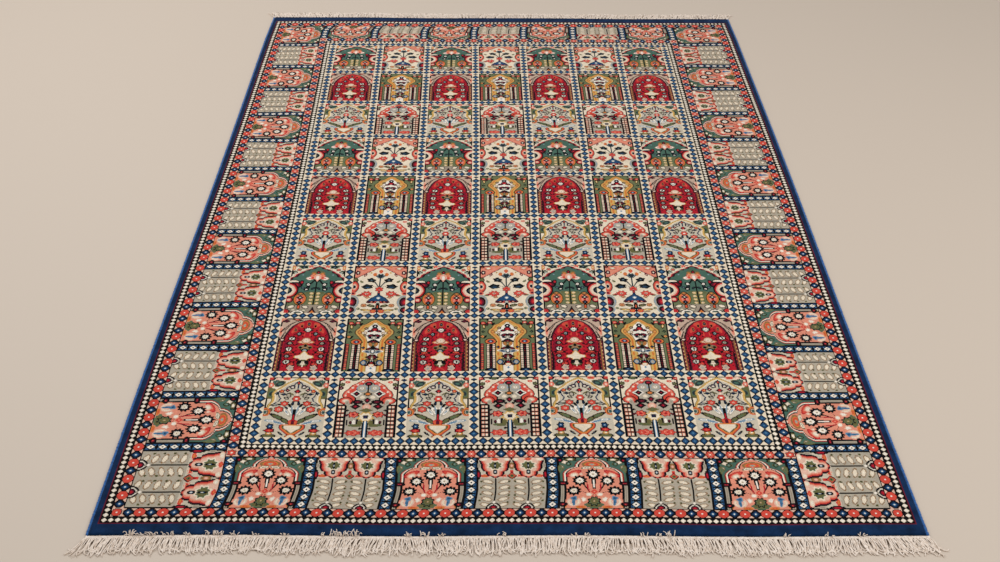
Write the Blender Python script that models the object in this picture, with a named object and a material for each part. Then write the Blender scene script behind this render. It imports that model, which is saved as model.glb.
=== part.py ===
"""Hand-knotted wool rug of garden panels, laid flat on the floor.

Metres, +Z up. The length runs along Y, with the near end at -Y, and the underside lies at z = 0.
The origin is at the centre of the whole rug's footprint, on the floor.

Pieces: the knotted cloth with its pile (one flat solid), a wool-wrapped cord along each long side,
and a knotted warp fringe on a narrow woven heading at each end.
"""
import math
import random
from collections import namedtuple

import bmesh
import bpy
from mathutils import Vector

# Driving dimensions
RUG_WIDTH = 2.040            # over both side cords
RUG_LENGTH = 2.980           # from pile end to pile end
RUG_THICKNESS = 0.009        # foundation and pile together
EDGE_ROUNDING = 0.0024       # how far the pile's edge is worn round
CORD_WIDTH = 0.0072          # overcast side cord, across
FRINGE_REACH = 0.066         # from the pile's end to the longest tips
HEADING_WIDTH = 0.009        # flat-woven heading that the fringe hangs from
HEADING_THICKNESS = 0.0024
STRANDS_PER_END = 140        # knotted locks in each fringe
TIP_SPLAY = 0.020            # how far the outermost locks lean outwards
GAP = 0.0003                 # between neighbouring pieces

# A hand-made rug is never quite straight: gentle bends of its sides and of its ends
SIDE_BEND = 0.0022
SIDE_BEND_LENGTH = 2.3
END_BEND = 0.0020
END_BEND_LENGTH = 0.85

SIDE_STEPS = 36              # straight steps along a long side
END_STEPS = 26               # straight steps along an end
CORD_SIDES = 8
LENGTH_SPREAD = 0.16         # a lock may be this share shorter than the longest
SWAY = 0.30                  # lean of the locks, radians, in slow waves along the end
SWAY_LENGTHS = (0.62, 0.27)
LOOSE_TIP = 0.0024           # how far a tip strays from its neighbours' lean
SPLAY_RANGE = 0.11           # the outward lean fades over this distance from a corner

# A lock from its root to its tip: share of its length, half width and height above the floor
LockSection = namedtuple("LockSection", "share half_width height")
LOCK_SECTIONS = (
    LockSection(0.09, 0.0034, 0.0046),
    LockSection(0.50, 0.0025, 0.0030),
    LockSection(1.00, 0.0013, 0.0013),
)
LOCK_ROOT_HALF_WIDTH = 0.0026

# Name, sRGB colour and roughness of each fibre
WOOL_PILE = ("wool_pile", (0.560, 0.370, 0.330), 0.92)
WOOL_CORD = ("wool_cord", (0.110, 0.270, 0.520), 0.88)
COTTON_WARP = ("cotton_warp", (0.860, 0.810, 0.750), 0.90)

COLLECTION_NAME = "persian_rug"


def clear_scene():
    """Remove every object that the file opens with."""
    for thing in list(bpy.data.objects):
        bpy.data.objects.remove(thing, do_unlink=True)


def linear(channel):
    """Turn one sRGB channel into a linear one."""
    if channel <= 0.04045:
        return channel / 12.92
    return ((channel + 0.055) / 1.055) ** 2.4


def fibre_material(fibre):
    """Return the Principled material of a fibre, made once."""
    name, colour, roughness = fibre
    material = bpy.data.materials.get(name)
    if material:
        return material
    material = bpy.data.materials.new(name)
    material.use_nodes = True
    shader = material.node_tree.nodes["Principled BSDF"]
    shader.inputs["Base Color"].default_value = (*(linear(c) for c in colour), 1.0)
    shader.inputs["Roughness"].default_value = roughness
    shader.inputs["Metallic"].default_value = 0.0
    return material


def as_it_lies(x, y):
    """Bend a place on the straight rug to where it lies on the floor."""
    side_shift = SIDE_BEND * math.sin(math.tau * y / SIDE_BEND_LENGTH + 0.9)
    end_shift = END_BEND * math.sin(math.tau * x / END_BEND_LENGTH + 0.4)
    return x + side_shift, y + end_shift


def even_steps(start, end, count):
    """Return count + 1 evenly spaced values from start to end."""
    return [start + (end - start) * step / count for step in range(count + 1)]


def cloth_outline():
    """Return the knotted cloth's corners and edge points, once round, as it lies."""
    half_width = RUG_WIDTH / 2 - CORD_WIDTH - GAP
    half_length = RUG_LENGTH / 2
    across = even_steps(-half_width, half_width, END_STEPS)
    along = even_steps(-half_length, half_length, SIDE_STEPS)
    near = [(x, -half_length) for x in across[:-1]]
    right = [(half_width, y) for y in along[:-1]]
    far = [(x, half_length) for x in reversed(across[1:])]
    left = [(-half_width, y) for y in reversed(along[1:])]
    return [as_it_lies(x, y) for x, y in near + right + far + left]


def curve_spline(curve, points, closed):
    """Add a polyline through 3-D points to a curve."""
    spline = curve.splines.new("POLY")
    spline.points.add(len(points) - 1)
    for target, point in zip(spline.points, points):
        target.co = (*point, 1.0)
    spline.use_cyclic_u = closed
    return spline


def make_cloth(collection):
    """Knotted cloth: a flat outline as thick as foundation and pile, with its edges rounded."""
    curve = bpy.data.curves.new("rug", "CURVE")
    curve.dimensions = "2D"
    curve.fill_mode = "BOTH"
    curve.extrude = RUG_THICKNESS / 2 - EDGE_ROUNDING
    curve.bevel_depth = EDGE_ROUNDING
    curve.bevel_resolution = 1
    curve.offset = -EDGE_ROUNDING
    curve_spline(curve, [(x, y, 0.0) for x, y in cloth_outline()], closed=True)
    curve.materials.append(fibre_material(WOOL_PILE))
    cloth = bpy.data.objects.new("rug", curve)
    cloth.location.z = RUG_THICKNESS / 2
    collection.objects.link(cloth)
    weld = cloth.modifiers.new("join_caps", "WELD")
    weld.merge_threshold = 0.00002
    return cloth


def make_side_cord(collection, name, side):
    """Overcast cord along one long side (side is -1 or 1), lying on the floor beside the cloth."""
    centre_x = side * (RUG_WIDTH / 2 - CORD_WIDTH / 2)
    half_turn = math.pi / CORD_SIDES
    curve = bpy.data.curves.new(name, "CURVE")
    curve.dimensions = "3D"
    curve.bevel_depth = CORD_WIDTH / 2 / math.cos(half_turn)
    curve.bevel_resolution = CORD_SIDES // 2 - 2
    curve.use_fill_caps = True
    route = [as_it_lies(centre_x, y) for y in even_steps(-RUG_LENGTH / 2, RUG_LENGTH / 2, SIDE_STEPS)]
    spline = curve_spline(curve, [(x, y, 0.0) for x, y in route], closed=False)
    for point in spline.points:
        point.tilt = half_turn
    curve.materials.append(fibre_material(WOOL_CORD))
    cord = bpy.data.objects.new(name, curve)
    cord.location.z = CORD_WIDTH / 2
    collection.objects.link(cord)
    weld = cord.modifiers.new("join_caps", "WELD")
    weld.merge_threshold = 0.00002
    return cord


def lock_lean(x, phase):
    """Return the lean of the locks at x, in radians: slow waves, and outwards at the corners."""
    long_wave, short_wave = SWAY_LENGTHS
    sway = SWAY * (0.6 * math.sin(math.tau * x / long_wave + phase)
                   + 0.4 * math.sin(math.tau * x / short_wave + 2.0 * phase))
    from_corner = RUG_WIDTH / 2 - abs(x)
    corner_share = math.exp(-from_corner / SPLAY_RANGE)
    lock_length = FRINGE_REACH - HEADING_WIDTH - GAP
    splay = math.copysign(math.atan(TIP_SPLAY / lock_length), x)
    return (1.0 - corner_share) * sway + corner_share * splay


def grow_lock(mesh, root_face, outwards, lean, length, stray):
    """Draw one lock out of the heading's edge, lying level on the floor.

    root_face is its cell of the heading's outer face, outwards is -1 or 1 along Y, lean is in
    radians, and stray is how far the tip lies beside that lean.
    """
    root = root_face.calc_center_median()
    face = root_face
    for section in LOCK_SECTIONS:
        face = bmesh.ops.extrude_discrete_faces(mesh, faces=[face])["faces"][0]
        run = section.share * length
        centre_x = root.x + run * math.tan(lean) * section.share ** 0.3 + stray * section.share ** 2
        middle = face.calc_center_median()
        for vert in face.verts:
            side = math.copysign(section.half_width, vert.co.x - middle.x)
            height = section.height if vert.co.z > middle.z else 0.0
            vert.co = Vector((centre_x + side, root.y + outwards * run, height))


def heading_stations(pitch):
    """Return the places along X where the heading's cells begin and end: gap, root, gap, ..."""
    stations = [-RUG_WIDTH / 2]
    for lock in range(STRANDS_PER_END):
        centre = -RUG_WIDTH / 2 + (lock + 0.5) * pitch
        stations += [centre - LOCK_ROOT_HALF_WIDTH, centre + LOCK_ROOT_HALF_WIDTH]
    stations.append(RUG_WIDTH / 2)
    return stations


def make_fringe(collection, name, outwards, seed):
    """Fringe of one end: a flat-woven heading and its knotted locks, fused at their roots."""
    chance = random.Random(seed)
    pitch = RUG_WIDTH / STRANDS_PER_END
    stations = heading_stations(pitch)
    inner = outwards * (RUG_LENGTH / 2 + GAP)
    outer = outwards * (RUG_LENGTH / 2 + GAP + HEADING_WIDTH)

    mesh = bmesh.new()
    cells = len(stations) - 1
    bmesh.ops.create_grid(mesh, x_segments=cells, y_segments=1, size=1.0)
    for vert in mesh.verts:
        column = round((vert.co.x + 1.0) / 2.0 * cells)
        vert.co = Vector((stations[column], outer if vert.co.y < 0 else inner, 0.0))
    bmesh.ops.solidify(mesh, geom=mesh.faces[:], thickness=HEADING_THICKNESS)
    lowest = min(vert.co.z for vert in mesh.verts)
    bmesh.ops.translate(mesh, verts=mesh.verts[:], vec=(0.0, 0.0, -lowest))

    edge_faces = [f for f in mesh.faces if all(abs(v.co.y - outer) < GAP / 2 for v in f.verts)]
    edge_faces.sort(key=lambda f: f.calc_center_median().x)
    for lock, root_face in enumerate(edge_faces[1::2]):
        x = root_face.calc_center_median().x
        shortening, stray = chance.random() * LENGTH_SPREAD, chance.uniform(-LOOSE_TIP, LOOSE_TIP)
        if lock in (0, STRANDS_PER_END - 1):
            shortening, stray = 0.0, 0.0
        length = (FRINGE_REACH - HEADING_WIDTH - GAP) * (1.0 - shortening)
        grow_lock(mesh, root_face, outwards, lock_lean(x, phase=seed), length, stray)

    for vert in mesh.verts:
        vert.co.x, vert.co.y = as_it_lies(vert.co.x, vert.co.y)
    bmesh.ops.recalc_face_normals(mesh, faces=mesh.faces[:])
    data = bpy.data.meshes.new(name)
    mesh.to_mesh(data)
    mesh.free()
    data.materials.append(fibre_material(COTTON_WARP))
    fringe = bpy.data.objects.new(name, data)
    collection.objects.link(fringe)
    return fringe


def centre_on_origin(pieces):
    """Move all pieces together so that the footprint's centre is at the origin, lowest points at 0."""
    bpy.context.view_layer.update()
    graph = bpy.context.evaluated_depsgraph_get()
    corners = []
    for piece in pieces:
        evaluated = piece.evaluated_get(graph)
        data = evaluated.to_mesh()
        places = [evaluated.matrix_world @ vert.co for vert in data.vertices]
        evaluated.to_mesh_clear()
        piece.location.z -= min(place.z for place in places)
        corners += places
    for axis in (0, 1):
        values = [corner[axis] for corner in corners]
        middle = (min(values) + max(values)) / 2
        for piece in pieces:
            piece.location[axis] -= middle


def main():
    """Build the rug."""
    clear_scene()
    collection = bpy.data.collections.new(COLLECTION_NAME)
    bpy.context.scene.collection.children.link(collection)
    pieces = [
        make_cloth(collection),
        make_side_cord(collection, "selvedge_left", side=-1),
        make_side_cord(collection, "selvedge_right", side=1),
        make_fringe(collection, "fringe_near", outwards=-1, seed=3),
        make_fringe(collection, "fringe_far", outwards=1, seed=8),
    ]
    centre_on_origin(pieces)


main()
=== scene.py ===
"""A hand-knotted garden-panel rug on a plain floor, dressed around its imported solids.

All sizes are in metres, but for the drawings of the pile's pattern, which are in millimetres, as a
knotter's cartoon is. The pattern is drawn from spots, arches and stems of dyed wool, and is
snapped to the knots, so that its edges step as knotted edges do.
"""
import logging
import math
import random
from dataclasses import dataclass, field
from enum import Enum
from typing import Dict, List, Optional, Sequence, Tuple, Union

import bmesh
import bpy
import numpy as np
from mathutils import Matrix, Vector


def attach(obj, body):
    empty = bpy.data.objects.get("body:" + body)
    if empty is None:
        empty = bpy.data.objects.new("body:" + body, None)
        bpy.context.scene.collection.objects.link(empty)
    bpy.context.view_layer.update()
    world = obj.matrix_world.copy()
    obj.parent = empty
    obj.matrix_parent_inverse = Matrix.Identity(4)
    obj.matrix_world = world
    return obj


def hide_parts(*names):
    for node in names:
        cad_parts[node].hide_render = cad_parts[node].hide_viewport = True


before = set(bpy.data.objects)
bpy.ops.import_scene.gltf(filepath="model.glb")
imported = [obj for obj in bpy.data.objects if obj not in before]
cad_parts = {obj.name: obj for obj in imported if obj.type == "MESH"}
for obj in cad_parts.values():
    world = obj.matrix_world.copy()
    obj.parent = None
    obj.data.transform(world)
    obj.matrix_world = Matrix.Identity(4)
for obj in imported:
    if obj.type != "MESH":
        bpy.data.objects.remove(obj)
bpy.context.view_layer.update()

logging.basicConfig(level=logging.INFO, format="%(name)s: %(message)s")
LOG = logging.getLogger("rug")

BODY = "root"

# The rug's driving sizes, the same as those of its solids
RUG_WIDTH = 2.040
RUG_LENGTH = 2.980
RUG_THICKNESS = 0.009
CORD_WIDTH = 0.0072
GAP = 0.0003
SIDE_BEND = 0.0022
SIDE_BEND_LENGTH = 2.3
END_BEND = 0.0020
END_BEND_LENGTH = 0.85
FRINGE_REACH = 0.066
HEADING_WIDTH = 0.009
STRANDS_PER_END = 140
TIP_SPLAY = 0.020
LENGTH_SPREAD = 0.16
SWAY = 0.30
SWAY_LENGTHS = (0.62, 0.27)
LOOSE_TIP = 0.0024
SPLAY_RANGE = 0.11
FAN = 0.30  # radians that the combed cords lean outwards near the corners
# Stray tufts of warp along each heading: place along X, and size
NEAR_TUFTS = ((-0.911, 0.9), (-0.889, 0.4), (-0.862, 0.9), (-0.828, 0.5), (-0.779, 0.3), (-0.723, 0.8),
              (-0.704, 0.4), (-0.665, 0.4), (-0.616, 0.2), (-0.547, 0.3), (-0.447, 0.4), (-0.416, 1.0),
              (-0.396, 0.8), (-0.377, 1.1), (-0.245, 0.6), (-0.206, 0.9), (-0.167, 0.3), (-0.015, 0.6),
              (0.163, 0.2), (0.187, 0.3), (0.324, 0.3), (0.366, 0.3), (0.392, 0.9), (0.678, 0.4),
              (0.776, 0.4), (0.863, 0.4))
FAR_TUFTS = ((-0.62, 0.4), (-0.11, 0.3), (0.37, 0.5))
# The knotting wanders inside the straight outline: shift, and its change out along X and along Y
DRIFT = (-0.9, 6.0, -12.5, 12.5)  # millimetres
FIELD_TILT = (4.0, 6.5)  # how far the field lies on towards the far end, and more out along X
# Where these two wanderings end and over what length they fade, in millimetres across and along
DRIFT_FADES = ((960.0, 210.0), (1450.0, 100.0))
TILT_FADES = ((760.0, 70.0), (1210.0, 90.0))
CLOSEST_LINES = 0.05  # millimetres between two lines of the pile's grid
ORIGIN_SHIFT = (0.00128, -0.00014)  # from the straight rug's middle to the frame's origin
SIDE_SPREAD = (0.0092, 0.0026)  # how far the sides spread past their solid, and more at the near end
SPREAD_FROM = 0.70  # where that starts, out along X
CORNER_HELD = 0.62  # how much of the spread the far corners lose
CORNER_FROM, CORNER_RUN = 0.86, 0.14  # where that starts, and over how much of the half length
SIDE_PHASE, END_PHASE = 0.9, 0.4
FLOOR_CLEARANCE = 0.0001

MM = 0.001
KNOT = 2.1  # millimetres from knot to knot: about 230,000 knots a square metre
REACH = 250.0  # millimetres, more than any drawing's height
HUNDRED = 100.0
PETAL_DEPTH, PETAL_MEAN = 0.16, 1.14  # how far a petalled edge swings, and about what share
LOZENGE_STEEPNESS = 1.4  # a lozenge's sides run slantwise, so its outline takes more of them
MOST_OUTLINE = 0.6  # the largest share of a spot that its outline takes
CURVE_MARGIN = 0.004  # keeps a curve's flat runs clear of a shape's edge
MOTIF_UV = "motif"
PLAN_UV = "plan"
BAKE_UV = "OFBake"

Socket = bpy.types.NodeSocket
Point = Tuple[float, float]
Point3 = Tuple[float, float, float]


def linear(hex_colour: str) -> Tuple[float, float, float, float]:
    """Turn an sRGB hex colour into a linear one.

    Args:
        hex_colour: six hex digits after a hash sign.

    Returns:
        Linear red, green and blue, and an alpha of 1.
    """
    channels = [int(hex_colour[i:i + 2], 16) / 255.0 for i in (1, 3, 5)]
    return (*(c / 12.92 if c <= 0.04045 else ((c + 0.055) / 1.055) ** 2.4 for c in channels), 1.0)


def add(tree: bpy.types.NodeTree, kind: str, settings: Optional[dict] = None,
        links: Optional[dict] = None) -> bpy.types.Node:
    """Add a node with its settings and links.

    Args:
        tree: the material's node tree.
        kind: the node's type name, without its ShaderNode.
        settings: the node's own properties, by name.
        links: a value or another node's output for each input, by the input's name or number.

    Returns:
        The new node.
    """
    node = tree.nodes.new(f"ShaderNode{kind}")
    for name, value in (settings or {}).items():
        setattr(node, name, value)
    for key, value in (links or {}).items():
        if isinstance(value, Socket):
            tree.links.new(value, node.inputs[key])
        else:
            node.inputs[key].default_value = value
    return node


def new_material(name: str) -> Tuple[bpy.types.Material, bpy.types.NodeTree, bpy.types.Node]:
    """Make a material with nodes.

    Args:
        name: what it is called, after the real stuff.

    Returns:
        The material, its node tree and its shader.
    """
    material = bpy.data.materials.new(name)
    material.use_nodes = True
    return material, material.node_tree, material.node_tree.nodes["Principled BSDF"]


def put(name: str, data: bpy.types.ID) -> bpy.types.Object:
    """Put an object in the scene.

    Args:
        name: its name.
        data: its mesh, lamp or camera data.

    Returns:
        The new object.
    """
    thing = bpy.data.objects.new(name, data)
    bpy.context.collection.objects.link(thing)
    return thing


def as_it_lies(x: float, y: float) -> Point:
    """Bend a place on the straight rug to where it lies; arrays work too.

    The bends are those of the solids. The sides also spread a little, least at the far corners.

    Args:
        x: the place across the straight rug, in metres.
        y: the place along it.

    Returns:
        The place as the rug lies.
    """
    side_shift = SIDE_BEND * np.sin(math.tau * y / SIDE_BEND_LENGTH + SIDE_PHASE)
    end_shift = END_BEND * np.sin(math.tau * x / END_BEND_LENGTH + END_PHASE)
    out = np.clip((np.abs(x) - SPREAD_FROM) / (RUG_WIDTH / 2 - SPREAD_FROM), 0.0, 1.0)
    along = np.clip(y / (RUG_LENGTH / 2), -1.0, 1.0)
    corner = 1.0 - CORNER_HELD * np.clip((along - CORNER_FROM) / CORNER_RUN, 0.0, 1.0)
    spread = np.sign(x) * out * corner * (SIDE_SPREAD[0] - SIDE_SPREAD[1] * along)
    return x + side_shift + spread, y + end_shift


# Wool dyes, one letter each, as a knotter's cartoon names them
DYES: Dict[str, str] = {
    "k": "#0b090c",  # ink: natural black wool, every outline
    "n": "#10294a",  # navy
    "b": "#22486e",  # mid blue
    "q": "#4a7699",  # light blue
    "l": "#8499a6",  # grey-blue
    "g": "#566b50",  # leaf green
    "o": "#66623c",  # olive
    "t": "#47675a",  # teal green
    "w": "#ece3d6",  # natural white
    "c": "#e4d5bd",  # cream
    "y": "#cfa65c",  # yellow
    "a": "#cf7a3a",  # amber
    "r": "#cf4a3c",  # coral red
    "p": "#dc8d75",  # salmon
    "s": "#e0b7a2",  # pale pink
    "e": "#b01c2a",  # madder red
    "m": "#5a1828",  # maroon
    "u": "#3c2038",  # aubergine
    "h": "#aea493",  # silver grey
    "j": "#c8bda9",  # pale grey
    "z": "#9a8c7c",  # warm grey
    "d": "#8f6a42",  # tan
    "f": "#68704f",  # sage green
    "i": "#26343a",  # ink green
    "v": "#c0a592",  # rose grey
    "x": "#86142c",  # crimson
}
SEE_THROUGH = "."
OUTLINE_KNOT = 2.2  # millimetres of outline for each k that ends a spot's rings


class Shape(Enum):
    """How the distance from a spot's middle is measured, which gives its outline."""

    ROUND = "round"
    LOZENGE = "lozenge"
    BLOCK = "block"
    ROSE = "rose"


@dataclass
class Canvas:
    """A pile material while its pattern is being drawn.

    place is the knot's place in the drawing, across is its distance from the middle line and depth
    minus its height, both for each 100 mm, reach is its height for each REACH millimetres, and
    colour is the pattern so far.
    """

    tree: bpy.types.NodeTree
    place: Socket
    across: Socket
    depth: Socket
    reach: Socket
    colour: Socket

    def lay(self, distance: Socket, stops: Sequence[Tuple[float, str]]) -> None:
        """Lay bands of dye over the pattern so far.

        Args:
            distance: the value that the bands follow, from 0 to 1.
            stops: where each band starts, and its dye or SEE_THROUGH.
        """
        ramp = add(self.tree, "ValToRGB", links={"Fac": distance})
        ramp.color_ramp.interpolation = "CONSTANT"
        elements = ramp.color_ramp.elements
        while len(elements) < len(stops):
            elements.new(1.0)
        for element, (position, dye) in zip(elements, stops):
            element.position = position
            clear = dye == SEE_THROUGH
            element.color = (0.0, 0.0, 0.0, 0.0) if clear else linear(DYES[dye])
        mixed = add(self.tree, "Mix", {"data_type": "RGBA"}, {
            0: ramp.outputs["Alpha"], 6: self.colour, 7: ramp.outputs["Color"]})
        self.colour = mixed.outputs[2]


@dataclass(frozen=True)
class Spot:
    """A round, pointed, square or petalled spot; off the middle line it comes out as a pair.

    x, y, half_width and half_height are in millimetres, rings are its dyes from the middle out in
    equal steps, with an outline of a knot for each k at its end, turn is in degrees, and count and
    pitch repeat it up the drawing.
    """

    x: float
    y: float
    half_width: float
    half_height: float
    rings: str
    turn: float = 0.0
    shape: Shape = Shape.ROUND
    count: int = 1
    pitch: float = 0.0
    petals: int = 8

    def draw(self, canvas: Canvas) -> None:
        """Draw the spot.

        Args:
            canvas: the material's canvas, which the spot is laid over.
        """
        tree = canvas.tree
        local = add(tree, "Mapping", {"vector_type": "TEXTURE"}, {
            "Vector": self.repeated(canvas), "Location": (self.x, self.y, 0.0),
            "Rotation": (0.0, 0.0, math.radians(self.turn)),
            "Scale": (self.half_width, self.half_height, 1.0)}).outputs["Vector"]
        filling = self.rings.rstrip("k")
        outline = self.outline_share() if filling else 0.0
        steps = max(1, len(filling))
        stops = [(step / steps * (1.0 - outline), dye) for step, dye in enumerate(filling)]
        if len(filling) < len(self.rings):
            stops.append((1.0 - outline if filling else 0.0, "k"))
        canvas.lay(self.measure(tree, local), stops + [(1.0, SEE_THROUGH)])

    def outline_share(self) -> float:
        """Work out how much of the way to the edge the ink outline takes.

        Returns:
            A share, with a knot for each k at the end of the rings.
        """
        knots = len(self.rings) - len(self.rings.rstrip("k"))
        steepness = LOZENGE_STEEPNESS if self.shape is Shape.LOZENGE else 1.0
        return min(MOST_OUTLINE, knots * OUTLINE_KNOT * steepness / min(self.half_width, self.half_height))

    def repeated(self, canvas: Canvas) -> Socket:
        """Move the place down to the first spot of a row where the spot repeats.

        Args:
            canvas: the material's canvas.

        Returns:
            The place to measure from.
        """
        if self.count == 1:
            return canvas.place
        tree = canvas.tree
        sides = add(tree, "SeparateXYZ", links={0: canvas.place})
        steps = add(tree, "Math", {"operation": "MULTIPLY_ADD"}, {
            0: sides.outputs["Y"], 1: 1.0 / self.pitch, 2: -self.y / self.pitch})
        whole = add(tree, "Math", {"operation": "ROUND"}, {0: steps.outputs[0]})
        kept = add(tree, "Clamp", links={
            "Value": whole.outputs[0], "Min": 0.0, "Max": float(self.count - 1)})
        down = add(tree, "Math", {"operation": "MULTIPLY_ADD"}, {
            0: kept.outputs[0], 1: -self.pitch, 2: sides.outputs["Y"]})
        return add(tree, "CombineXYZ", links={
            "X": sides.outputs["X"], "Y": down.outputs[0]}).outputs[0]

    def measure(self, tree: bpy.types.NodeTree, local: Socket) -> Socket:
        """Measure the distance from the spot's middle.

        Args:
            tree: the material's node tree.
            local: the place, with the spot's half sizes as its units.

        Returns:
            The distance, 1 at the spot's edge.
        """
        if self.shape is Shape.ROUND:
            return add(tree, "VectorMath", {"operation": "LENGTH"}, {0: local}).outputs["Value"]
        if self.shape is Shape.ROSE:
            length = add(tree, "VectorMath", {"operation": "LENGTH"}, {0: local})
            angle = add(tree, "TexGradient", {"gradient_type": "RADIAL"}, {"Vector": local})
            turns = add(tree, "Math", {"operation": "MULTIPLY"}, {
                0: angle.outputs["Fac"], 1: math.tau * self.petals})
            wave = add(tree, "Math", {"operation": "COSINE"}, {0: turns.outputs[0]})
            swell = add(tree, "Math", {"operation": "MULTIPLY_ADD"}, {
                0: wave.outputs[0], 1: PETAL_DEPTH, 2: PETAL_MEAN})
            return add(tree, "Math", {"operation": "MULTIPLY"}, {
                0: swell.outputs[0], 1: length.outputs["Value"]}).outputs[0]
        sizes = add(tree, "VectorMath", {"operation": "ABSOLUTE"}, {0: local}).outputs[0]
        if self.shape is Shape.LOZENGE:
            return add(tree, "VectorMath", {"operation": "DOT_PRODUCT"}, {
                0: sizes, 1: (1.0, 1.0, 0.0)}).outputs["Value"]
        sides = add(tree, "SeparateXYZ", links={0: sizes})
        return add(tree, "Math", {"operation": "MAXIMUM"}, {
            0: sides.outputs["X"], 1: sides.outputs["Y"]}).outputs[0]


@dataclass(frozen=True)
class Outline:
    """A shape that is the same to both sides of the middle line, such as an arch, urn or column.

    points are (height, half width) pairs in millimetres, from the bottom up. bands are dyes from the
    edge inwards, each one knot wide, and the last one fills the rest. centre moves the shape's own
    middle line out, so that it comes as a pair. crown holds (distance from the middle, height) pairs
    that cut the top off where its slope is shallow.
    """

    points: Tuple[Point, ...]
    bands: str
    centre: float = 0.0
    crown: Tuple[Point, ...] = ()

    def draw(self, canvas: Canvas) -> None:
        """Draw the outline.

        Args:
            canvas: the material's canvas, which the outline is laid over.
        """
        tree = canvas.tree
        width = add(tree, "FloatCurve", links={"Value": canvas.reach})
        set_curve(width, [(height / REACH, half / HUNDRED) for height, half in self.points])
        across = canvas.across
        if self.centre:
            moved = add(tree, "Math", {"operation": "SUBTRACT"}, {
                0: across, 1: self.centre / HUNDRED})
            across = add(tree, "Math", {"operation": "ABSOLUTE"}, {0: moved.outputs[0]}).outputs[0]
        inside = add(tree, "Math", {"operation": "SUBTRACT"}, {
            0: width.outputs[0], 1: across}).outputs[0]
        if self.crown:
            height = add(tree, "FloatCurve", links={"Value": across})
            set_curve(height, [(x / HUNDRED, top / REACH) for x, top in self.crown])
            under = add(tree, "Math", {"operation": "MULTIPLY_ADD"}, {
                0: height.outputs[0], 1: REACH / HUNDRED, 2: canvas.depth}).outputs[0]
            inside = add(tree, "Math", {"operation": "MINIMUM"}, {
                0: inside, 1: under}).outputs[0]
        step = KNOT / HUNDRED
        stops = [(CURVE_MARGIN + band * step, dye) for band, dye in enumerate(self.bands)]
        canvas.lay(inside, [(0.0, SEE_THROUGH)] + stops)


@dataclass(frozen=True)
class Stem:
    """A thin line up the drawing, and its mirror image: (height, distance from the middle) pairs."""

    points: Tuple[Point, ...]
    dye: str
    half_width: float = 1.1

    def draw(self, canvas: Canvas) -> None:
        """Draw the stem.

        Args:
            canvas: the material's canvas, which the stem is laid over.
        """
        tree = canvas.tree
        away = 1.0
        route = [(height / REACH, side / HUNDRED) for height, side in self.points]
        start, end = route[0][0] - CURVE_MARGIN, route[-1][0] + CURVE_MARGIN
        route = ([(start, away)] if start > 0.0 else []) + route + [(end, away)]
        line = add(tree, "FloatCurve", links={"Value": canvas.reach})
        set_curve(line, route)
        beside = add(tree, "Math", {"operation": "SUBTRACT"}, {
            0: line.outputs[0], 1: canvas.across})
        distance = add(tree, "Math", {"operation": "ABSOLUTE"}, {0: beside.outputs[0]})
        canvas.lay(distance.outputs[0], [(0.0, self.dye), (self.half_width / HUNDRED, SEE_THROUGH)])


Element = Union[Spot, Outline, Stem]


def set_curve(node: bpy.types.Node, points: Sequence[Point]) -> None:
    """Give a Float Curve node straight runs between points, flat beyond its ends.

    Args:
        node: the Float Curve node.
        points: the curve's points from left to right, from 0 to 1 both ways.
    """
    points = [(0.0, points[0][1])] * (points[0][0] > 0.0) + list(points) + [(1.0, points[-1][1])]
    node.mapping.extend = "HORIZONTAL"
    curve = node.mapping.curves[0]
    while len(curve.points) < len(points):
        curve.points.new(0.5, 0.5)
    for target, (x, y) in zip(curve.points, points):
        target.location = (min(max(x, 0.0), 1.0), min(max(y, 0.0), 1.0))
        target.handle_type = "VECTOR"
    node.mapping.update()


@dataclass(frozen=True)
class Drawing:
    """A knotter's cartoon of one panel or one repeat of a stripe.

    ground is the dye of the ground, height and half_width are its sizes in millimetres, and elements
    are drawn over the ground in order. A stripe has a repeat, its length along the drawing, and isn't
    mirrored about its middle line. long_repeat is its length where it runs along the rug, if that differs.
    """

    name: str
    ground: str
    elements: Tuple[Element, ...]
    half_width: float = 84.5
    height: float = 234.6
    repeat: float = 0.0
    long_repeat: float = 0.0
    mirrored: bool = True


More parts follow.
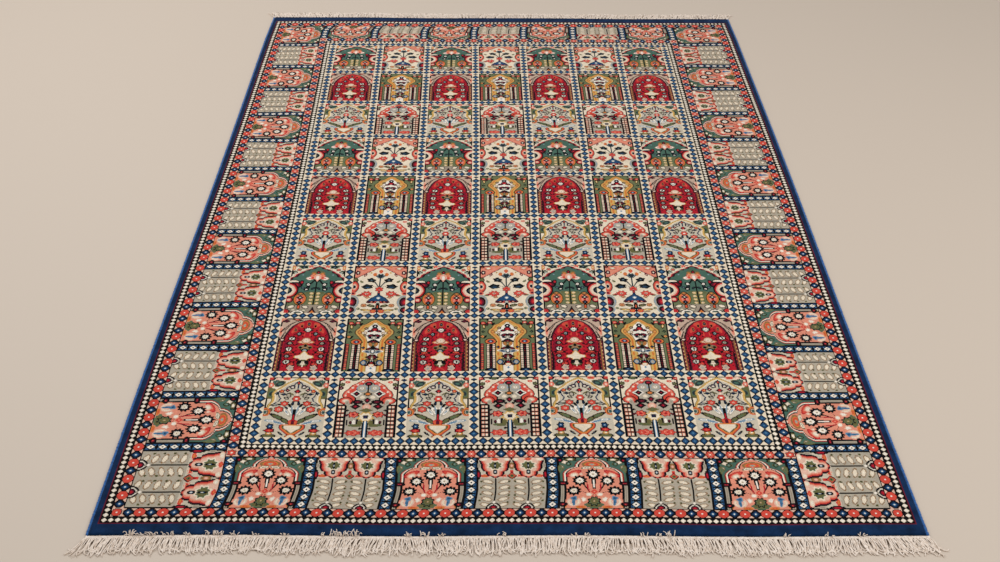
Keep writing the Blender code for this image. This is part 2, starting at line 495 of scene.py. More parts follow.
@dataclass(frozen=True)
class KnottedWool:
    """Cut wool pile, hand knotted and clipped: matt, with a soft bloom where light grazes it."""

    roughness: float = 0.94
    bloom: float = 0.04  # sheen of the fibres' sides
    bloom_roughness: float = 0.45
    knot_tone: float = 0.20  # how far one knot's wool differs from the next
    abrash: float = 0.13  # slow bands where one dye lot follows another
    painted_nap_sheen: float = 0.12  # painted sheen and shade: patches where the pile leans another way look lighter or darker
    plain_painted_nap_sheen: float = 0.70  # the same painted sheen and shade where no pattern hides it
    wander: float = 0.7  # millimetres that the knotter strays from the cartoon
    wander_length: float = 55.0  # millimetres from one stray to the next
    lot_scale: Point = (0.0007, 0.009)  # dye lots for each millimetre across and along
    painted_nap_sheen_length: float = 34.0  # millimetres from one patch of painted sheen and shade to the next
    noise_detail: float = 3.0
    tuft_height: float = 0.0009
    tuft_disorder: float = 0.35
    tuft_relief: float = 0.6
    fibres: float = 3.2  # fibre bundles for each knot
    specular: float = 0.06  # wool scatters nearly all the light that it returns

    def material(self, drawing: Drawing) -> bpy.types.Material:
        """Make the material of the pile that a drawing fills.

        Args:
            drawing: the cartoon that is knotted.

        Returns:
            The new material.
        """
        material, tree, shader = new_material(f"wool_pile_{drawing.name}")
        plan = add(tree, "UVMap", {"uv_map": PLAN_UV}).outputs["UV"]
        place = self.knotted_place(tree, plan, drawing)
        canvas = self.canvas(tree, place, drawing)
        for element in drawing.elements:
            element.draw(canvas)
        # The tone holds painted sheen and shade in patches of leaning pile, stronger where the pile is plain.
        value = self.tone(tree, plan, self.painted_nap_sheen if drawing.elements else self.plain_painted_nap_sheen)
        dyed = add(tree, "HueSaturation", links={"Color": canvas.colour, "Value": value})
        tree.links.new(dyed.outputs["Color"], shader.inputs["Base Color"])
        tree.links.new(self.tufts(tree, plan), shader.inputs["Normal"])
        shader.inputs["Roughness"].default_value = self.roughness
        shader.inputs["Specular IOR Level"].default_value = self.specular
        shader.inputs["Sheen Weight"].default_value = self.bloom
        shader.inputs["Sheen Roughness"].default_value = self.bloom_roughness
        return material

    def knotted_place(self, tree: bpy.types.NodeTree, plan: Socket, drawing: Drawing) -> Socket:
        """Snap the drawing's coordinates to the middle of each knot.

        Args:
            tree: the material's node tree.
            plan: the place on the straight rug, in millimetres.
            drawing: the cartoon, which says how the place repeats and mirrors.

        Returns:
            The knot's place in the drawing.
        """
        place = add(tree, "UVMap", {"uv_map": MOTIF_UV}).outputs["UV"]
        stray = add(tree, "TexNoise", {"noise_dimensions": "2D"}, {
            "Vector": plan, "Scale": 1.0 / self.wander_length, "Detail": 1.0})
        place = add(tree, "VectorMath", {"operation": "MULTIPLY_ADD"}, {
            0: stray.outputs["Color"], 1: (2 * self.wander, 2 * self.wander, 0.0), 2: place}).outputs[0]
        shift = (-self.wander, -self.wander, 0.0)
        place = add(tree, "VectorMath", {"operation": "ADD"}, {0: place, 1: shift}).outputs[0]
        if drawing.repeat:
            far = 10.0 * HUNDRED  # more than a stripe's width, so that only its length repeats
            place = add(tree, "VectorMath", {"operation": "WRAP"}, {
                0: place, 1: (far, drawing.repeat / 2, 1.0), 2: (-far, -drawing.repeat / 2, 0.0)}).outputs[0]
        place = add(tree, "VectorMath", {"operation": "SNAP"}, {
            0: place, 1: (KNOT, KNOT, 1.0)}).outputs[0]
        place = add(tree, "VectorMath", {"operation": "ADD"}, {
            0: place, 1: (KNOT / 2, KNOT / 2, 0.0)}).outputs[0]
        if drawing.mirrored:
            place = add(tree, "VectorMath", {"operation": "ABSOLUTE"}, {0: place}).outputs[0]
        return place

    def canvas(self, tree: bpy.types.NodeTree, place: Socket, drawing: Drawing) -> Canvas:
        """Start a canvas with the drawing's ground.

        Args:
            tree: the material's node tree.
            place: the knot's place in the drawing.
            drawing: the cartoon.

        Returns:
            The canvas, filled with the ground's dye.
        """
        sides = add(tree, "SeparateXYZ", links={0: place})
        out = add(tree, "Math", {"operation": "ABSOLUTE"}, {0: sides.outputs["X"]})
        across = add(tree, "Math", {"operation": "MULTIPLY"}, {
            0: out.outputs[0], 1: 1.0 / HUNDRED})
        depth = add(tree, "Math", {"operation": "MULTIPLY"}, {
            0: sides.outputs["Y"], 1: -1.0 / HUNDRED})
        reach = add(tree, "Math", {"operation": "MULTIPLY"}, {
            0: sides.outputs["Y"], 1: 1.0 / REACH})
        ground = add(tree, "RGB")
        ground.outputs[0].default_value = linear(DYES[drawing.ground])
        return Canvas(tree, place, across.outputs[0], depth.outputs[0], reach.outputs[0], ground.outputs[0])

    def tone(self, tree: bpy.types.NodeTree, plan: Socket, painted_nap_sheen: float) -> Socket:
        """Vary the wool: each knot a little, in dye lots, and with painted sheen and shade where pile leans.

        Args:
            tree: the material's node tree.
            plan: the place on the straight rug, in millimetres.
            painted_nap_sheen: how strongly the patches of painted sheen and shade show.

        Returns:
            How light the wool is, about 1.
        """
        knot = add(tree, "VectorMath", {"operation": "SNAP"}, {0: plan, 1: (KNOT, KNOT, 1.0)})
        each = add(tree, "TexWhiteNoise", {"noise_dimensions": "2D"}, {"Vector": knot.outputs[0]})
        bands = add(tree, "VectorMath", {"operation": "MULTIPLY"}, {
            0: plan, 1: (*self.lot_scale, 0.0)})
        lots = add(tree, "TexNoise", {"noise_dimensions": "2D"}, {
            "Vector": bands.outputs[0], "Scale": 1.0, "Detail": self.noise_detail})
        knots = add(tree, "Math", {"operation": "MULTIPLY_ADD"}, {
            0: each.outputs["Value"], 1: self.knot_tone, 2: 1.0 - self.knot_tone / 2 - self.abrash / 2})
        banded = add(tree, "Math", {"operation": "MULTIPLY_ADD"}, {
            0: lots.outputs["Fac"], 1: self.abrash, 2: knots.outputs[0]})
        # Painted sheen and shade: lighter and darker patches where the pile leans.
        patches = add(tree, "TexNoise", {"noise_dimensions": "2D"}, {
            "Vector": plan, "Scale": 1.0 / self.painted_nap_sheen_length, "Detail": self.noise_detail})
        lean = add(tree, "Math", {"operation": "MULTIPLY_ADD"}, {
            0: patches.outputs["Fac"], 1: 2 * painted_nap_sheen, 2: 1.0 - painted_nap_sheen})
        return add(tree, "Math", {"operation": "MULTIPLY"}, {
            0: banded.outputs[0], 1: lean.outputs[0]}).outputs[0]

    def tufts(self, tree: bpy.types.NodeTree, plan: Socket) -> Socket:
        """Stand each knot up as a clipped tuft of fine fibres.

        Args:
            tree: the material's node tree.
            plan: the place on the straight rug, in millimetres.

        Returns:
            The normal to shade with.
        """
        cell = add(tree, "VectorMath", {"operation": "SCALE"}, {0: plan, "Scale": 1.0 / KNOT})
        tuft = add(tree, "TexVoronoi", {"voronoi_dimensions": "2D"}, {
            "Vector": cell.outputs[0], "Scale": 1.0, "Randomness": self.tuft_disorder})
        fibre = add(tree, "TexNoise", {"noise_dimensions": "2D"}, {
            "Vector": cell.outputs[0], "Scale": self.fibres, "Detail": 2.0})
        height = add(tree, "Math", {"operation": "SUBTRACT"}, {
            0: fibre.outputs["Fac"], 1: tuft.outputs["Distance"]})
        bump = add(tree, "Bump", links={
            "Strength": self.tuft_relief, "Distance": self.tuft_height, "Height": height.outputs[0]})
        return bump.outputs["Normal"]


# Repeats of the stripes, in millimetres
PEARL_REPEAT = 16.3
GUARD_REPEAT = 53.5
GUARD_LONG_REPEAT = 56.3  # the outer guard along the rug
LATTICE_REPEAT = 24.66
BORDER_BAR_REPEAT = 26.0


def lozenge(x: float, y: float, half_width: float, half_height: float, rings: str, turn: float = 0.0,
            count: int = 1, pitch: float = 0.0) -> Spot:
    """Return a pointed spot."""
    return Spot(x, y, half_width, half_height, rings, turn, Shape.LOZENGE, count, pitch)


def block(x: float, y: float, half_width: float, half_height: float, rings: str, turn: float = 0.0,
          count: int = 1, pitch: float = 0.0) -> Spot:
    """Return a square spot."""
    return Spot(x, y, half_width, half_height, rings, turn, Shape.BLOCK, count, pitch)


def rose(x: float, y: float, half_width: float, half_height: float, rings: str, petals: int,
         turn: float = 0.0) -> Spot:
    """Return a petalled spot."""
    return Spot(x, y, half_width, half_height, rings, turn, Shape.ROSE, petals=petals)


def panel_ground(dye: str) -> Outline:
    """Return the ground of a field panel, inside its ink line."""
    return Outline(((0, 80.3), (230, 80.3), (230.6, 0)), dye)


PLAIN_NAVY = Drawing("navy_band", "n", (), mirrored=False)
CRIMSON_LINE = Drawing("crimson_line", "m", (), mirrored=False)
PEARLS = Drawing("pearls", "k", (
    lozenge(0, 0, 8.4, 8.4, "wwwwcd"),
), repeat=PEARL_REPEAT, mirrored=False)
CORAL_GUARD = Drawing("coral_guard", "k", (
    Outline(((0, 12.8),), "s"), lozenge(0, 26.75, 16.2, 16.8, "wwqbbnnkk"),
    lozenge(0, -26.75, 16.2, 16.8, "wwqbbnnkk"), Spot(0, 0, 14.2, 15.2, "wwrrrrrrk"),
    lozenge(0, 0, 4.6, 5.2, "wwar"),
), repeat=GUARD_REPEAT, long_repeat=GUARD_LONG_REPEAT, mirrored=False)
CORAL_CORNER = Drawing("coral_corner", "k", (
    block(-17.4, -17.4, 30, 30, "s"), Spot(0, 0, 13.4, 13.4, "wwrrrrrrk"),
), mirrored=False)
LATTICE_ROW = Drawing("lattice_row", "c", (
    lozenge(0, 0, 15.0, 12.7, "qqbbbnk"),
), repeat=LATTICE_REPEAT, mirrored=False)
LATTICE_POST = Drawing("lattice_post", "c", (
    lozenge(0, 13.25, 14.2, 14.6, "qqbbbnk", count=8, pitch=27.0), lozenge(0, 225, 10, 7, "bnk"),
), half_width=14.1)
BORDER_BAR = Drawing("border_bar", "k", (
    Outline(((0, 12.6),), "bbq"), lozenge(0, 13, 15.4, 5.0, "kk"), lozenge(0, -13, 15.4, 5.0, "kk"),
    lozenge(0, 0, 14.6, 13.2, "nnnnk"), lozenge(0, 0, 9.4, 8.8, "kkwww"),
), half_width=15.8, repeat=BORDER_BAR_REPEAT, mirrored=False)

VASE = Drawing("vase", "k", (
    panel_ground("c"), Spot(81, 230, 14, 10, "errmk"), rose(62, 213, 14, 13, "littk", 6),
    Spot(77, 203, 8, 10, "wppr"), Spot(36, 229, 12, 7, "orrp"), Spot(58, 228, 9, 5, "wss"),
    Spot(78, 184, 8, 10, "goo"), Spot(53, 208, 17, 10, "ttiio", -34), Spot(72, 168, 14, 22, "iigoo", 10),
    Outline(((0, 99), (104, 99), (106, 84), (114, 80), (122, 78), (130, 75), (138, 70), (153, 70), (160, 71),
             (168, 73), (175, 70), (182, 65), (189, 57), (195, 51), (202, 44), (208, 39), (214, 30),
             (220, 21), (226, 12), (233, 0)), "oyyyccj",
            crown=((0, 234), (19, 224), (37, 211), (50, 199), (64, 185), (73, 170), (76, 140), (84, 112),
                   (99, 106))),
    Outline(((116, 0), (117, 64), (124, 64), (130, 61), (138, 51), (149, 47), (159, 53), (168, 56), (177, 55),
             (181, 46), (186, 35), (194, 33), (199, 27), (203, 14), (212, 11), (220, 0)), "nn.",
            crown=((0, 221), (11, 216), (14, 207), (27, 203), (34, 198), (37, 188), (55, 183), (65, 128))),
    lozenge(0, 211, 6, 11, "wrrk"), block(0, 196, 2.4, 8, "n"), rose(16, 195, 9.5, 9, "wwhuuk", 5),
    lozenge(28, 182, 8, 7, "wemk"), rose(44, 178, 8.5, 8, "yarrk", 5), lozenge(37, 166, 11, 6, "qnnk"),
    lozenge(57, 169, 5, 8, "lnk"), Spot(16, 168, 10, 2.6, "oo", 40), Spot(23, 162, 7, 10, "hhk", -20),
    Spot(56, 124, 15, 4.4, "lhk", -10), Spot(28, 150, 8, 5, "hhk", 30), Spot(66, 104, 6, 8, "odk"),
    lozenge(0, 178, 10, 11, "reemk"), Spot(0, 164, 5, 9, "wss"), rose(0, 148, 13, 15, "wwsrrrrk", 7),
    Spot(9, 103, 15, 27, "hwwjj", -16), Spot(21, 96, 6, 22, "lwh", -34), Spot(6, 98, 2.4, 26, "l", -10),
    Spot(8, 130, 4, 9, "nkk", 6), Spot(15, 121, 3.6, 8, "k", -24), Spot(24, 113, 3, 8, "nk", -44),
    block(2.2, 92, 1.2, 15, "k"), rose(31, 129, 14, 12, "esrrrrk", 6), rose(44, 106, 15, 14, "esrrrrk", 6),
    Spot(80, 95, 15, 16, "nttskaar"), Spot(42, 76, 28, 7.5, "ggook", 30), Spot(22, 62, 15, 8, "gook", 46),
    Spot(42, 56, 30, 6, "lqlwh", 20), Spot(62, 62, 16, 5, "lwl", 6),
    Outline(((50, 13), (58, 12), (66, 8), (68, 5.5), (84, 5.5), (90, 1), (91, 0)), "keem"),
    Spot(8, 56, 4, 9, "arr", -8),
    Outline(((8, 10), (10, 13), (22, 25), (30, 34), (36, 37), (48, 35), (49, 0)), "krraa"),
    Outline(((14, 0), (15, 5), (24, 15), (32, 25), (36, 28), (44, 27), (45, 0)), "kohc"),
    Outline(((0, 18), (4, 17), (8, 9), (9, 0)), "kaac"), Spot(60, 4, 21, 8, "gook"),
    Spot(60, 14, 10, 7, "wyd"), rose(60, 25, 17, 9, "arreek", 5), rose(60, 41, 11, 12, "wqbnnk", 5),
    Spot(29, 14, 11, 3.2, "luuk", 45),
))

RED_ARCH = Drawing("red_arch", "k", (
    panel_ground("c"), rose(80, 228, 15, 9, "srrmk", 5), Spot(42, 229, 15, 6, "oogk"),
    rose(74, 206, 8, 8, "gook", 5), Spot(77, 192, 7, 8, "wmmk"), Spot(60, 216, 7, 5, "srr"),
    Outline(((127, 0), (128, 62), (132, 73), (142, 75), (153, 69), (160, 72), (166, 72), (176, 68), (181, 65),
             (188, 57), (197, 52), (204, 48), (211, 37), (217, 30), (223, 22), (228, 13), (233, 0)),
            "krrpprrr"),
    block(17, 218, 3.4, 3.6, "ws", 30), block(31, 206, 3.4, 3.6, "ws", 40),
    block(44, 193, 3.4, 3.6, "ws", 50), block(55, 176, 3.4, 3.6, "ws", 60), block(62, 163, 3.4, 3.6, "ws"),
    Spot(60, 141, 20, 15, "wcccspprrrk"),
    Outline(((0, 60), (126, 60), (128, 46), (136, 41), (144, 37), (151, 36), (158, 41), (165, 49), (169, 50),
             (174, 41), (181, 34), (197, 33), (202, 28), (205, 20), (213, 13), (219, 0)), "kkh"),
    Spot(0, 210, 12, 11, "eemmkkh"), Spot(18, 192, 15, 14, "hwhhhl"), block(0, 189, 2.6, 16, "k"),
    lozenge(0, 168, 15, 10, "yaaarok"), lozenge(32, 169, 18, 16, "emkkkwwh"), Spot(14, 155, 9, 8, "ccch"),
    lozenge(0, 143, 12, 13, "eemmkkh"), Spot(26, 136, 15, 8.5, "emmmkk"),
    lozenge(31, 118, 15, 13, "eemmkk"), Spot(10, 128, 4, 5, "k"), Spot(55, 132, 6, 10, "zh"),
    Spot(0, 117, 12, 11, "csssp"), lozenge(0, 103, 20, 9, "gooo"), rose(0, 78, 24, 20, "nnkccccyy", 8),
    block(0, 78, 7, 6, "unk"), rose(34, 87, 18, 13, "merrprrk", 7), lozenge(53, 84, 5, 5, "km"),
    lozenge(52, 103, 6, 4, "k", 20), Spot(31, 58, 6, 13, "wwwh"), Spot(40, 57, 5, 6, "emmk"),
    block(50, 57, 2.6, 11, "k"), block(22, 60, 2.4, 9, "k"), Spot(28, 45, 19, 5, "oogo", 4),
    Spot(15, 54, 7, 11, "ooo"), Spot(13, 33, 4, 4, "k"), rose(31, 17, 25, 12, "errprrrm", 7),
    Outline(((0, 9), (62, 8), (63, 0)), "kkq"), block(0, 31, 2.2, 31, "w"),
    Outline(((0, 11.8), (126, 11.8), (127, 0)), "kkk", centre=68.8),
    block(64.0, 9, 3.5, 4.7, "wcccsp", count=8, pitch=15.2),
    block(73.6, 9, 3.5, 4.7, "wcccsp", count=8, pitch=15.2),
))

INNER_GUARD = Drawing("inner_guard", "k", (
    Outline(((0, 12.8),), "s"), lozenge(0, 26.75, 16.2, 16.4, "wwqbbnnnk"),
    lozenge(0, -26.75, 16.2, 16.4, "wwqbbnnnk"), rose(0, 0, 14.4, 15.8, "sspprrrrk", 6),
    lozenge(0, 0, 4.4, 5.0, "wwar"),
), repeat=GUARD_REPEAT, mirrored=False)
INNER_CORNER = Drawing("inner_corner", "k", (
    block(-17.4, -17.4, 30, 30, "s"), rose(0, 0, 13.2, 13.2, "wwprrrrrk", 6),
), mirrored=False)

RED_MIHRAB = Drawing("red_mihrab", "k", (
    panel_ground("v"), lozenge(84, 238, 27, 28, "prpppmk"), Spot(69, 221, 11, 6, "ummk"),
    Spot(38, 228, 16, 5, "pprk", 14), Spot(80, 172, 6, 26, "rpps"), Spot(70, 186, 19, 1.4, "k", -60),
    Spot(62, 190, 19, 1.5, "mk", -60), Spot(71, 160, 17, 1.4, "k", -68), Spot(50, 210, 15, 1.4, "k", -42),
    Spot(28, 222, 11, 1.3, "k", -24), Spot(76, 180, 14, 1.5, "mk", -62), Spot(40, 218, 13, 1.5, "k", -30),
    Spot(58, 203, 14, 1.5, "mk", -50), Spot(73, 150, 12, 1.6, "k", -74),
    Outline(((0, 70), (130, 70), (143, 71), (162, 66), (184, 58), (200, 48), (214, 34), (224, 14),
             (229, 0)), "kkmxe"),
    Spot(58, 104, 10, 40, "xxxe"), Spot(24, 128, 10, 30, "xxee"), Spot(45, 80, 17, 6, "arrrk"),
    Spot(34, 27, 12, 14, "rrrek"), Spot(0, 46, 22, 8, "arrek"), Spot(24, 205, 11, 8, "rrr", -40),
    Spot(30, 143, 12, 1.3, "k", 26), Spot(32, 111, 13, 1.3, "k", -18), Spot(33, 76, 12, 1.3, "k", 14),
    Spot(32, 50, 13, 1.3, "k", -24), lozenge(63, 16, 3.4, 2.0, "k", count=8, pitch=16),
    Spot(57, 118, 7, 1.4, "k", 40), Spot(16, 190, 9, 1.3, "k", 50), Spot(36, 160, 9, 1.3, "k", -40),
    Spot(20, 72, 10, 1.3, "k", -10), Spot(55, 158, 8, 1.4, "k", 60), Spot(60, 74, 6, 1.4, "k", -40),
    Spot(43, 176, 6, 16, "rrre", 14), Spot(8, 160, 3, 14, "rre", 10),
    lozenge(13, 18, 3.8, 2.6, "kk", 30, count=12, pitch=14.6),
    lozenge(26, 24, 4.2, 2.6, "kk", -30, count=11, pitch=15.4),
    lozenge(36, 17, 3.6, 2.4, "mk", 30, count=10, pitch=16.2),
    lozenge(56, 20, 3.4, 2.4, "kk", 20, count=9, pitch=16.2), Spot(0, 207, 7, 11, "lkkkrd"),
    Spot(20, 197, 6, 9, "kkkrd"), Spot(37, 181, 6, 10, "zkkrd"), rose(0, 180, 14, 13, "kwwhwwkk", 8),
    rose(24, 162, 9, 11, "kllhkk", 5), rose(43, 141, 13, 12, "kkwwhwkk", 8),
    rose(47, 120, 11, 10, "kzhzkk", 8), rose(47, 94, 13, 13, "kkhwhwkk", 8),
    rose(49, 63, 11, 10, "klhzkk", 8), rose(48, 39, 13, 13, "kkhwhwkk", 8), Spot(43, 141, 2.2, 6, "k", 18),
    Spot(47, 94, 2.2, 6, "k"), Spot(48, 39, 2.2, 6, "k"), Spot(0, 125, 25, 7, "csssa"),
    Spot(0, 132, 14, 13, "vccssd"), Spot(0, 101, 21, 11, "zddzo"), Spot(0, 109, 6, 8, "kkkd"),
    Spot(14, 100, 7, 6, "kkkd"), Spot(0, 87, 10, 10, "hhlkk"),
    Outline(((45, 0), (47, 13), (53, 16), (56, 29), (64, 30), (68, 16), (74, 11), (82, 7), (86, 0)), "aycc"),
    Spot(0, 33, 18, 15, "dcczook"), Spot(10, 38, 6, 9, "kkkk", 12), Spot(0, 26, 3, 9, "c"),
    rose(33, 13, 13, 15, "lhvvsk", 5), Spot(0, 1, 16, 12, "xeer"),
    Outline(((0, 8.8), (128, 8.8), (131, 0)), "kmmdk", centre=76),
    block(78, 9, 2.6, 3.4, "sad", count=8, pitch=15), block(71, 16, 2.4, 3.0, "rm", count=8, pitch=15),
    Spot(72, 136, 9, 7, "wcsmk"),
))

GOLD_ARCH = Drawing("gold_arch", "k", (
    panel_ground("f"), Spot(50, 226, 12, 5, "wcck"), Spot(52, 214, 9, 7, "sprk"),
    Spot(62, 206, 5, 7, "mmk", -20), Spot(72, 212, 9, 8, "pprrk"), Spot(70, 196, 5, 12, "wyyk", -6),
    Spot(42, 208, 4, 7, "k", 40), lozenge(72, 172, 7, 6, "gkk"), Spot(74, 150, 7, 7, "aryk"),
    Spot(66, 148, 3, 9, "k", 30),
    Outline(((0, 38), (134, 38), (140, 41), (147, 45), (155, 51), (164, 58), (174, 60), (184, 56), (190, 49),
             (197, 47), (203, 42), (209, 30), (216, 22), (223, 16), (229, 5), (232, 0)), "kdyyaaay"),
    Outline(((0, 17), (118, 19), (132, 21), (150, 26), (162, 32), (174, 34), (184, 30), (190, 24), (197, 20),
             (204, 13), (212, 8), (217, 0)), "dcw"),
    Spot(28, 72, 7, 16, "aayy"), Spot(25, 189, 6, 6, "wzdk"), Spot(30, 168, 9, 7, "zccd"),
    Spot(27, 158, 5, 5, "wdk"), Spot(44, 172, 6, 8, "yad"), Spot(0, 199, 8, 10, "wwqnkk"),
    Spot(12, 178, 10, 5.5, "emmk", -16), Spot(0, 184, 11, 9, "reemk"), Spot(0, 168, 5.4, 11, "wwwc"),
    Spot(10, 157, 11, 6, "emmk", -16), Spot(12, 147, 6, 4, "lnk", 20), lozenge(0, 147, 10, 10, "wwhhk"),
    rose(0, 128, 19, 12, "eemmkkk", 5), Spot(8, 117, 6, 10, "dad", -20), Spot(0, 117, 4, 12, "zoo"),
    lozenge(0, 88, 34, 18, "hhhhhw"), lozenge(29, 103, 7, 6, "lbk"), Spot(12, 98, 10, 5, "emmk", -24),
    lozenge(0, 104, 9, 8, "kkk"), Spot(15, 85, 12, 6, "nnlh", 10), Spot(0, 88, 7, 11, "wwwlk"),
    rose(0, 62, 20, 13, "eemmmkk", 5), Spot(12, 48, 9, 7, "dook"), Spot(0, 57, 3.4, 14, "czo"),
    Spot(23, 38, 10, 13, "hvhlbk"), lozenge(0, 37, 17, 9, "eemkkk"), Spot(12, 28, 8, 4, "mkk", -34),
    Spot(0, 27, 9, 6.5, "cwcca"), lozenge(0, 14, 5, 8, "lqlw"),
    Outline(((0, 14.4), (114, 14.4), (121, 9), (124, 0)), "kcsck", centre=50),
    block(50, 15, 4.0, 3.2, "emk", count=11, pitch=9), block(50, 19.5, 11.4, 0.9, "k", count=11, pitch=9),
    Spot(50, 128, 18, 13, "wlqkmrraak"), Spot(50, 5, 18, 9, "lqnnnkk"),
    Outline(((6, 6.4), (118, 6.4), (119, 0)), "kf", centre=74.6),
    block(74.6, 12, 4.2, 3.7, "prrm", count=12, pitch=9.4),
))

GREEN_TREE = Drawing("green_tree", "k", (
    panel_ground("c"), rose(48, 226, 16, 10, "likkg", 5), Spot(26, 228, 8, 8, "prp"),
    Spot(62, 212, 7, 7, "rrpk"), Spot(79, 222, 6, 12, "cyap"), Spot(72, 196, 8, 12, "lhgk", -24),
    Spot(0, 229, 9, 10, "kkmm"),
    Outline(((157, 0), (158, 99), (166, 97), (173, 93), (176, 83), (188, 79), (193, 74), (196, 66), (204, 60),
             (208, 50), (214, 46), (217, 32), (224, 28), (228, 16), (234, 8)), "cchcremmkkt"),
    Outline(((0, 80.3), (96, 76), (110, 62), (130, 54), (148, 62), (156, 74), (158, 82), (159, 0)), "kt"),
    Outline(((0, 80.3), (88, 80.3), (94, 58), (100, 30), (104, 0)), "f"), Spot(72, 150, 20, 10, "wcck"),
    Spot(66, 134, 24, 16, "meemmkk"), Spot(46, 148, 7, 10, "reemk"),
    Spot(88, 108, 36, 40, "yoonkkccssrekk"), lozenge(47, 186, 6, 6, "lt"), Spot(36, 204, 7, 5, "gt", 20),
    Spot(25, 124, 6, 9, "ikk", 20), Spot(40, 121, 7, 5, "lii"), Spot(13, 150, 3, 15, "k", 30),
    Spot(9, 118, 5, 8, "iik", 40), Spot(20, 96, 8, 6, "go", 20),
    Outline(((5, 3.0), (168, 3.0), (169, 0)), "k"), Spot(0, 195, 22, 13, "iggo"),
    Spot(13, 191, 9, 9, "aadd"), lozenge(0, 199, 7, 11, "reemk"), Spot(14, 181, 9, 9, "aappr"),
    Spot(24, 168, 11, 8, "rwws"), Spot(15, 171, 7, 7, "rrrp"), Spot(0, 172, 10, 19, "wwwsps"),
    Spot(7, 158, 3, 7, "k", -30), rose(25, 138, 10, 10, "mmwwwkk", 6), rose(29, 113, 9, 9, "wwwkkk", 5),
    Spot(10, 46, 7.6, 6.4, "cycyo", 24, count=4, pitch=16), Spot(43, 66, 20, 30, "eersrpraak"),
    Spot(43, 92, 10, 8, "aaddk"), lozenge(43, 73, 12, 10, "whkkkk"), lozenge(43, 48, 11, 10, "lnkkkk"),
    Spot(76, 62, 13, 15, "yssremk"), Outline(((0, 80.3), (32, 80.3), (36, 66), (38, 0)), "z"),
    Spot(43, 28, 6, 12, "rrak"), Spot(66, 29, 13, 8, "wccck", -24), Spot(23, 28, 12, 8, "wccck", 24),
    Spot(58, 14, 9, 5, "cchg"), Spot(26, 12, 9, 5, "cchg"), Spot(43, -1, 22, 15, "kktkkwwck"),
    Spot(80, 7, 14, 12, "reermk"), Outline(((0, 15), (10, 8), (20, 4), (26, 3), (27, 0)), "kkma"),
))

CREAM_PANEL = Drawing("cream_panel", "k", (
    panel_ground("p"), rose(56, 219, 15, 10, "wccdpr", 6), Spot(30, 228, 8, 5, "aap"),
    Spot(76, 226, 8, 6, "ammk"), rose(72, 198, 9, 12, "wckkmm", 5),
    Outline(((0, 90), (160, 90), (168, 86), (180, 73), (190, 60), (200, 48), (208, 38), (219, 26), (229, 10),
             (236, 0)), "rppmmcc"),
    Spot(77, 160, 9, 14, "gook"), Spot(57, 152, 6, 4, "dgo", 30), Spot(48, 186, 4, 8, "smm", 30),
    Spot(78, 127, 15, 30, "nkkcpprrrk"), Spot(80, 94, 10, 9, "mmrp"), Spot(82, 52, 25, 35, "reemmkkhlh"),
    Spot(84, 15, 20, 20, "rrmmkkhl"), Spot(0, 205, 6, 9, "aarr"), Spot(18, 189, 6.4, 9, "raar"),
    Spot(30, 198, 3, 4, "dy"), rose(0, 181, 16, 12, "iikkiilk", 5),
    Outline(((86, 3.6), (176, 3.6), (178, 0)), "ik"),
    Stem(((126, 3), (140, 10), (152, 17), (158, 24)), "i", 2.0),
    Stem(((122, 3), (128, 14), (131, 26)), "i", 1.6), rose(27, 160, 16, 12, "liiikkk", 5, 24),
    rose(37, 128, 19, 13, "bniikkk", 5), Spot(37, 124, 16, 7, "bbiik"), rose(0, 114, 14, 13, "kserrrrm", 6),
    Spot(0, 98, 3.6, 9, "rrm"), Spot(54, 88, 12, 5, "mmrr", -20), rose(38, 92, 18, 15, "ksserrrrm", 8),
    Spot(34, 75, 8, 5, "pd"),
    Outline(((46, 0), (47, 36), (53, 37), (60, 32), (72, 24), (80, 14), (86, 7), (94, 4), (98, 0)), "kmmpr"),
    Outline(((56, 0), (57, 33), (62, 30), (72, 23), (80, 13), (86, 6), (94, 3.6), (98, 0)), "nnbbb"),
    Spot(0, 72, 6, 6, "wwl"), lozenge(0, 51, 9, 10, "kkwwhk"), Spot(20, 52, 11, 6, "spmmk", -16),
    Spot(20, 34, 13, 6.5, "zoook", 16), Spot(42, 36, 9.5, 9, "dapdd"), Spot(0, 30, 7, 18, "rrakkk"),
    Spot(10, 18, 8, 8, "ikk", 20), Spot(32, 13, 20, 5.4, "cyydo", 8), Spot(30, 4, 18, 4, "odc"),
    Spot(12, 8, 10, 9, "raarrm"), Spot(0, 10, 3, 10, "kk"), Spot(58, 20, 6, 5, "cgo"),
    Spot(62, 83, 7, 3, "og", 20),
))

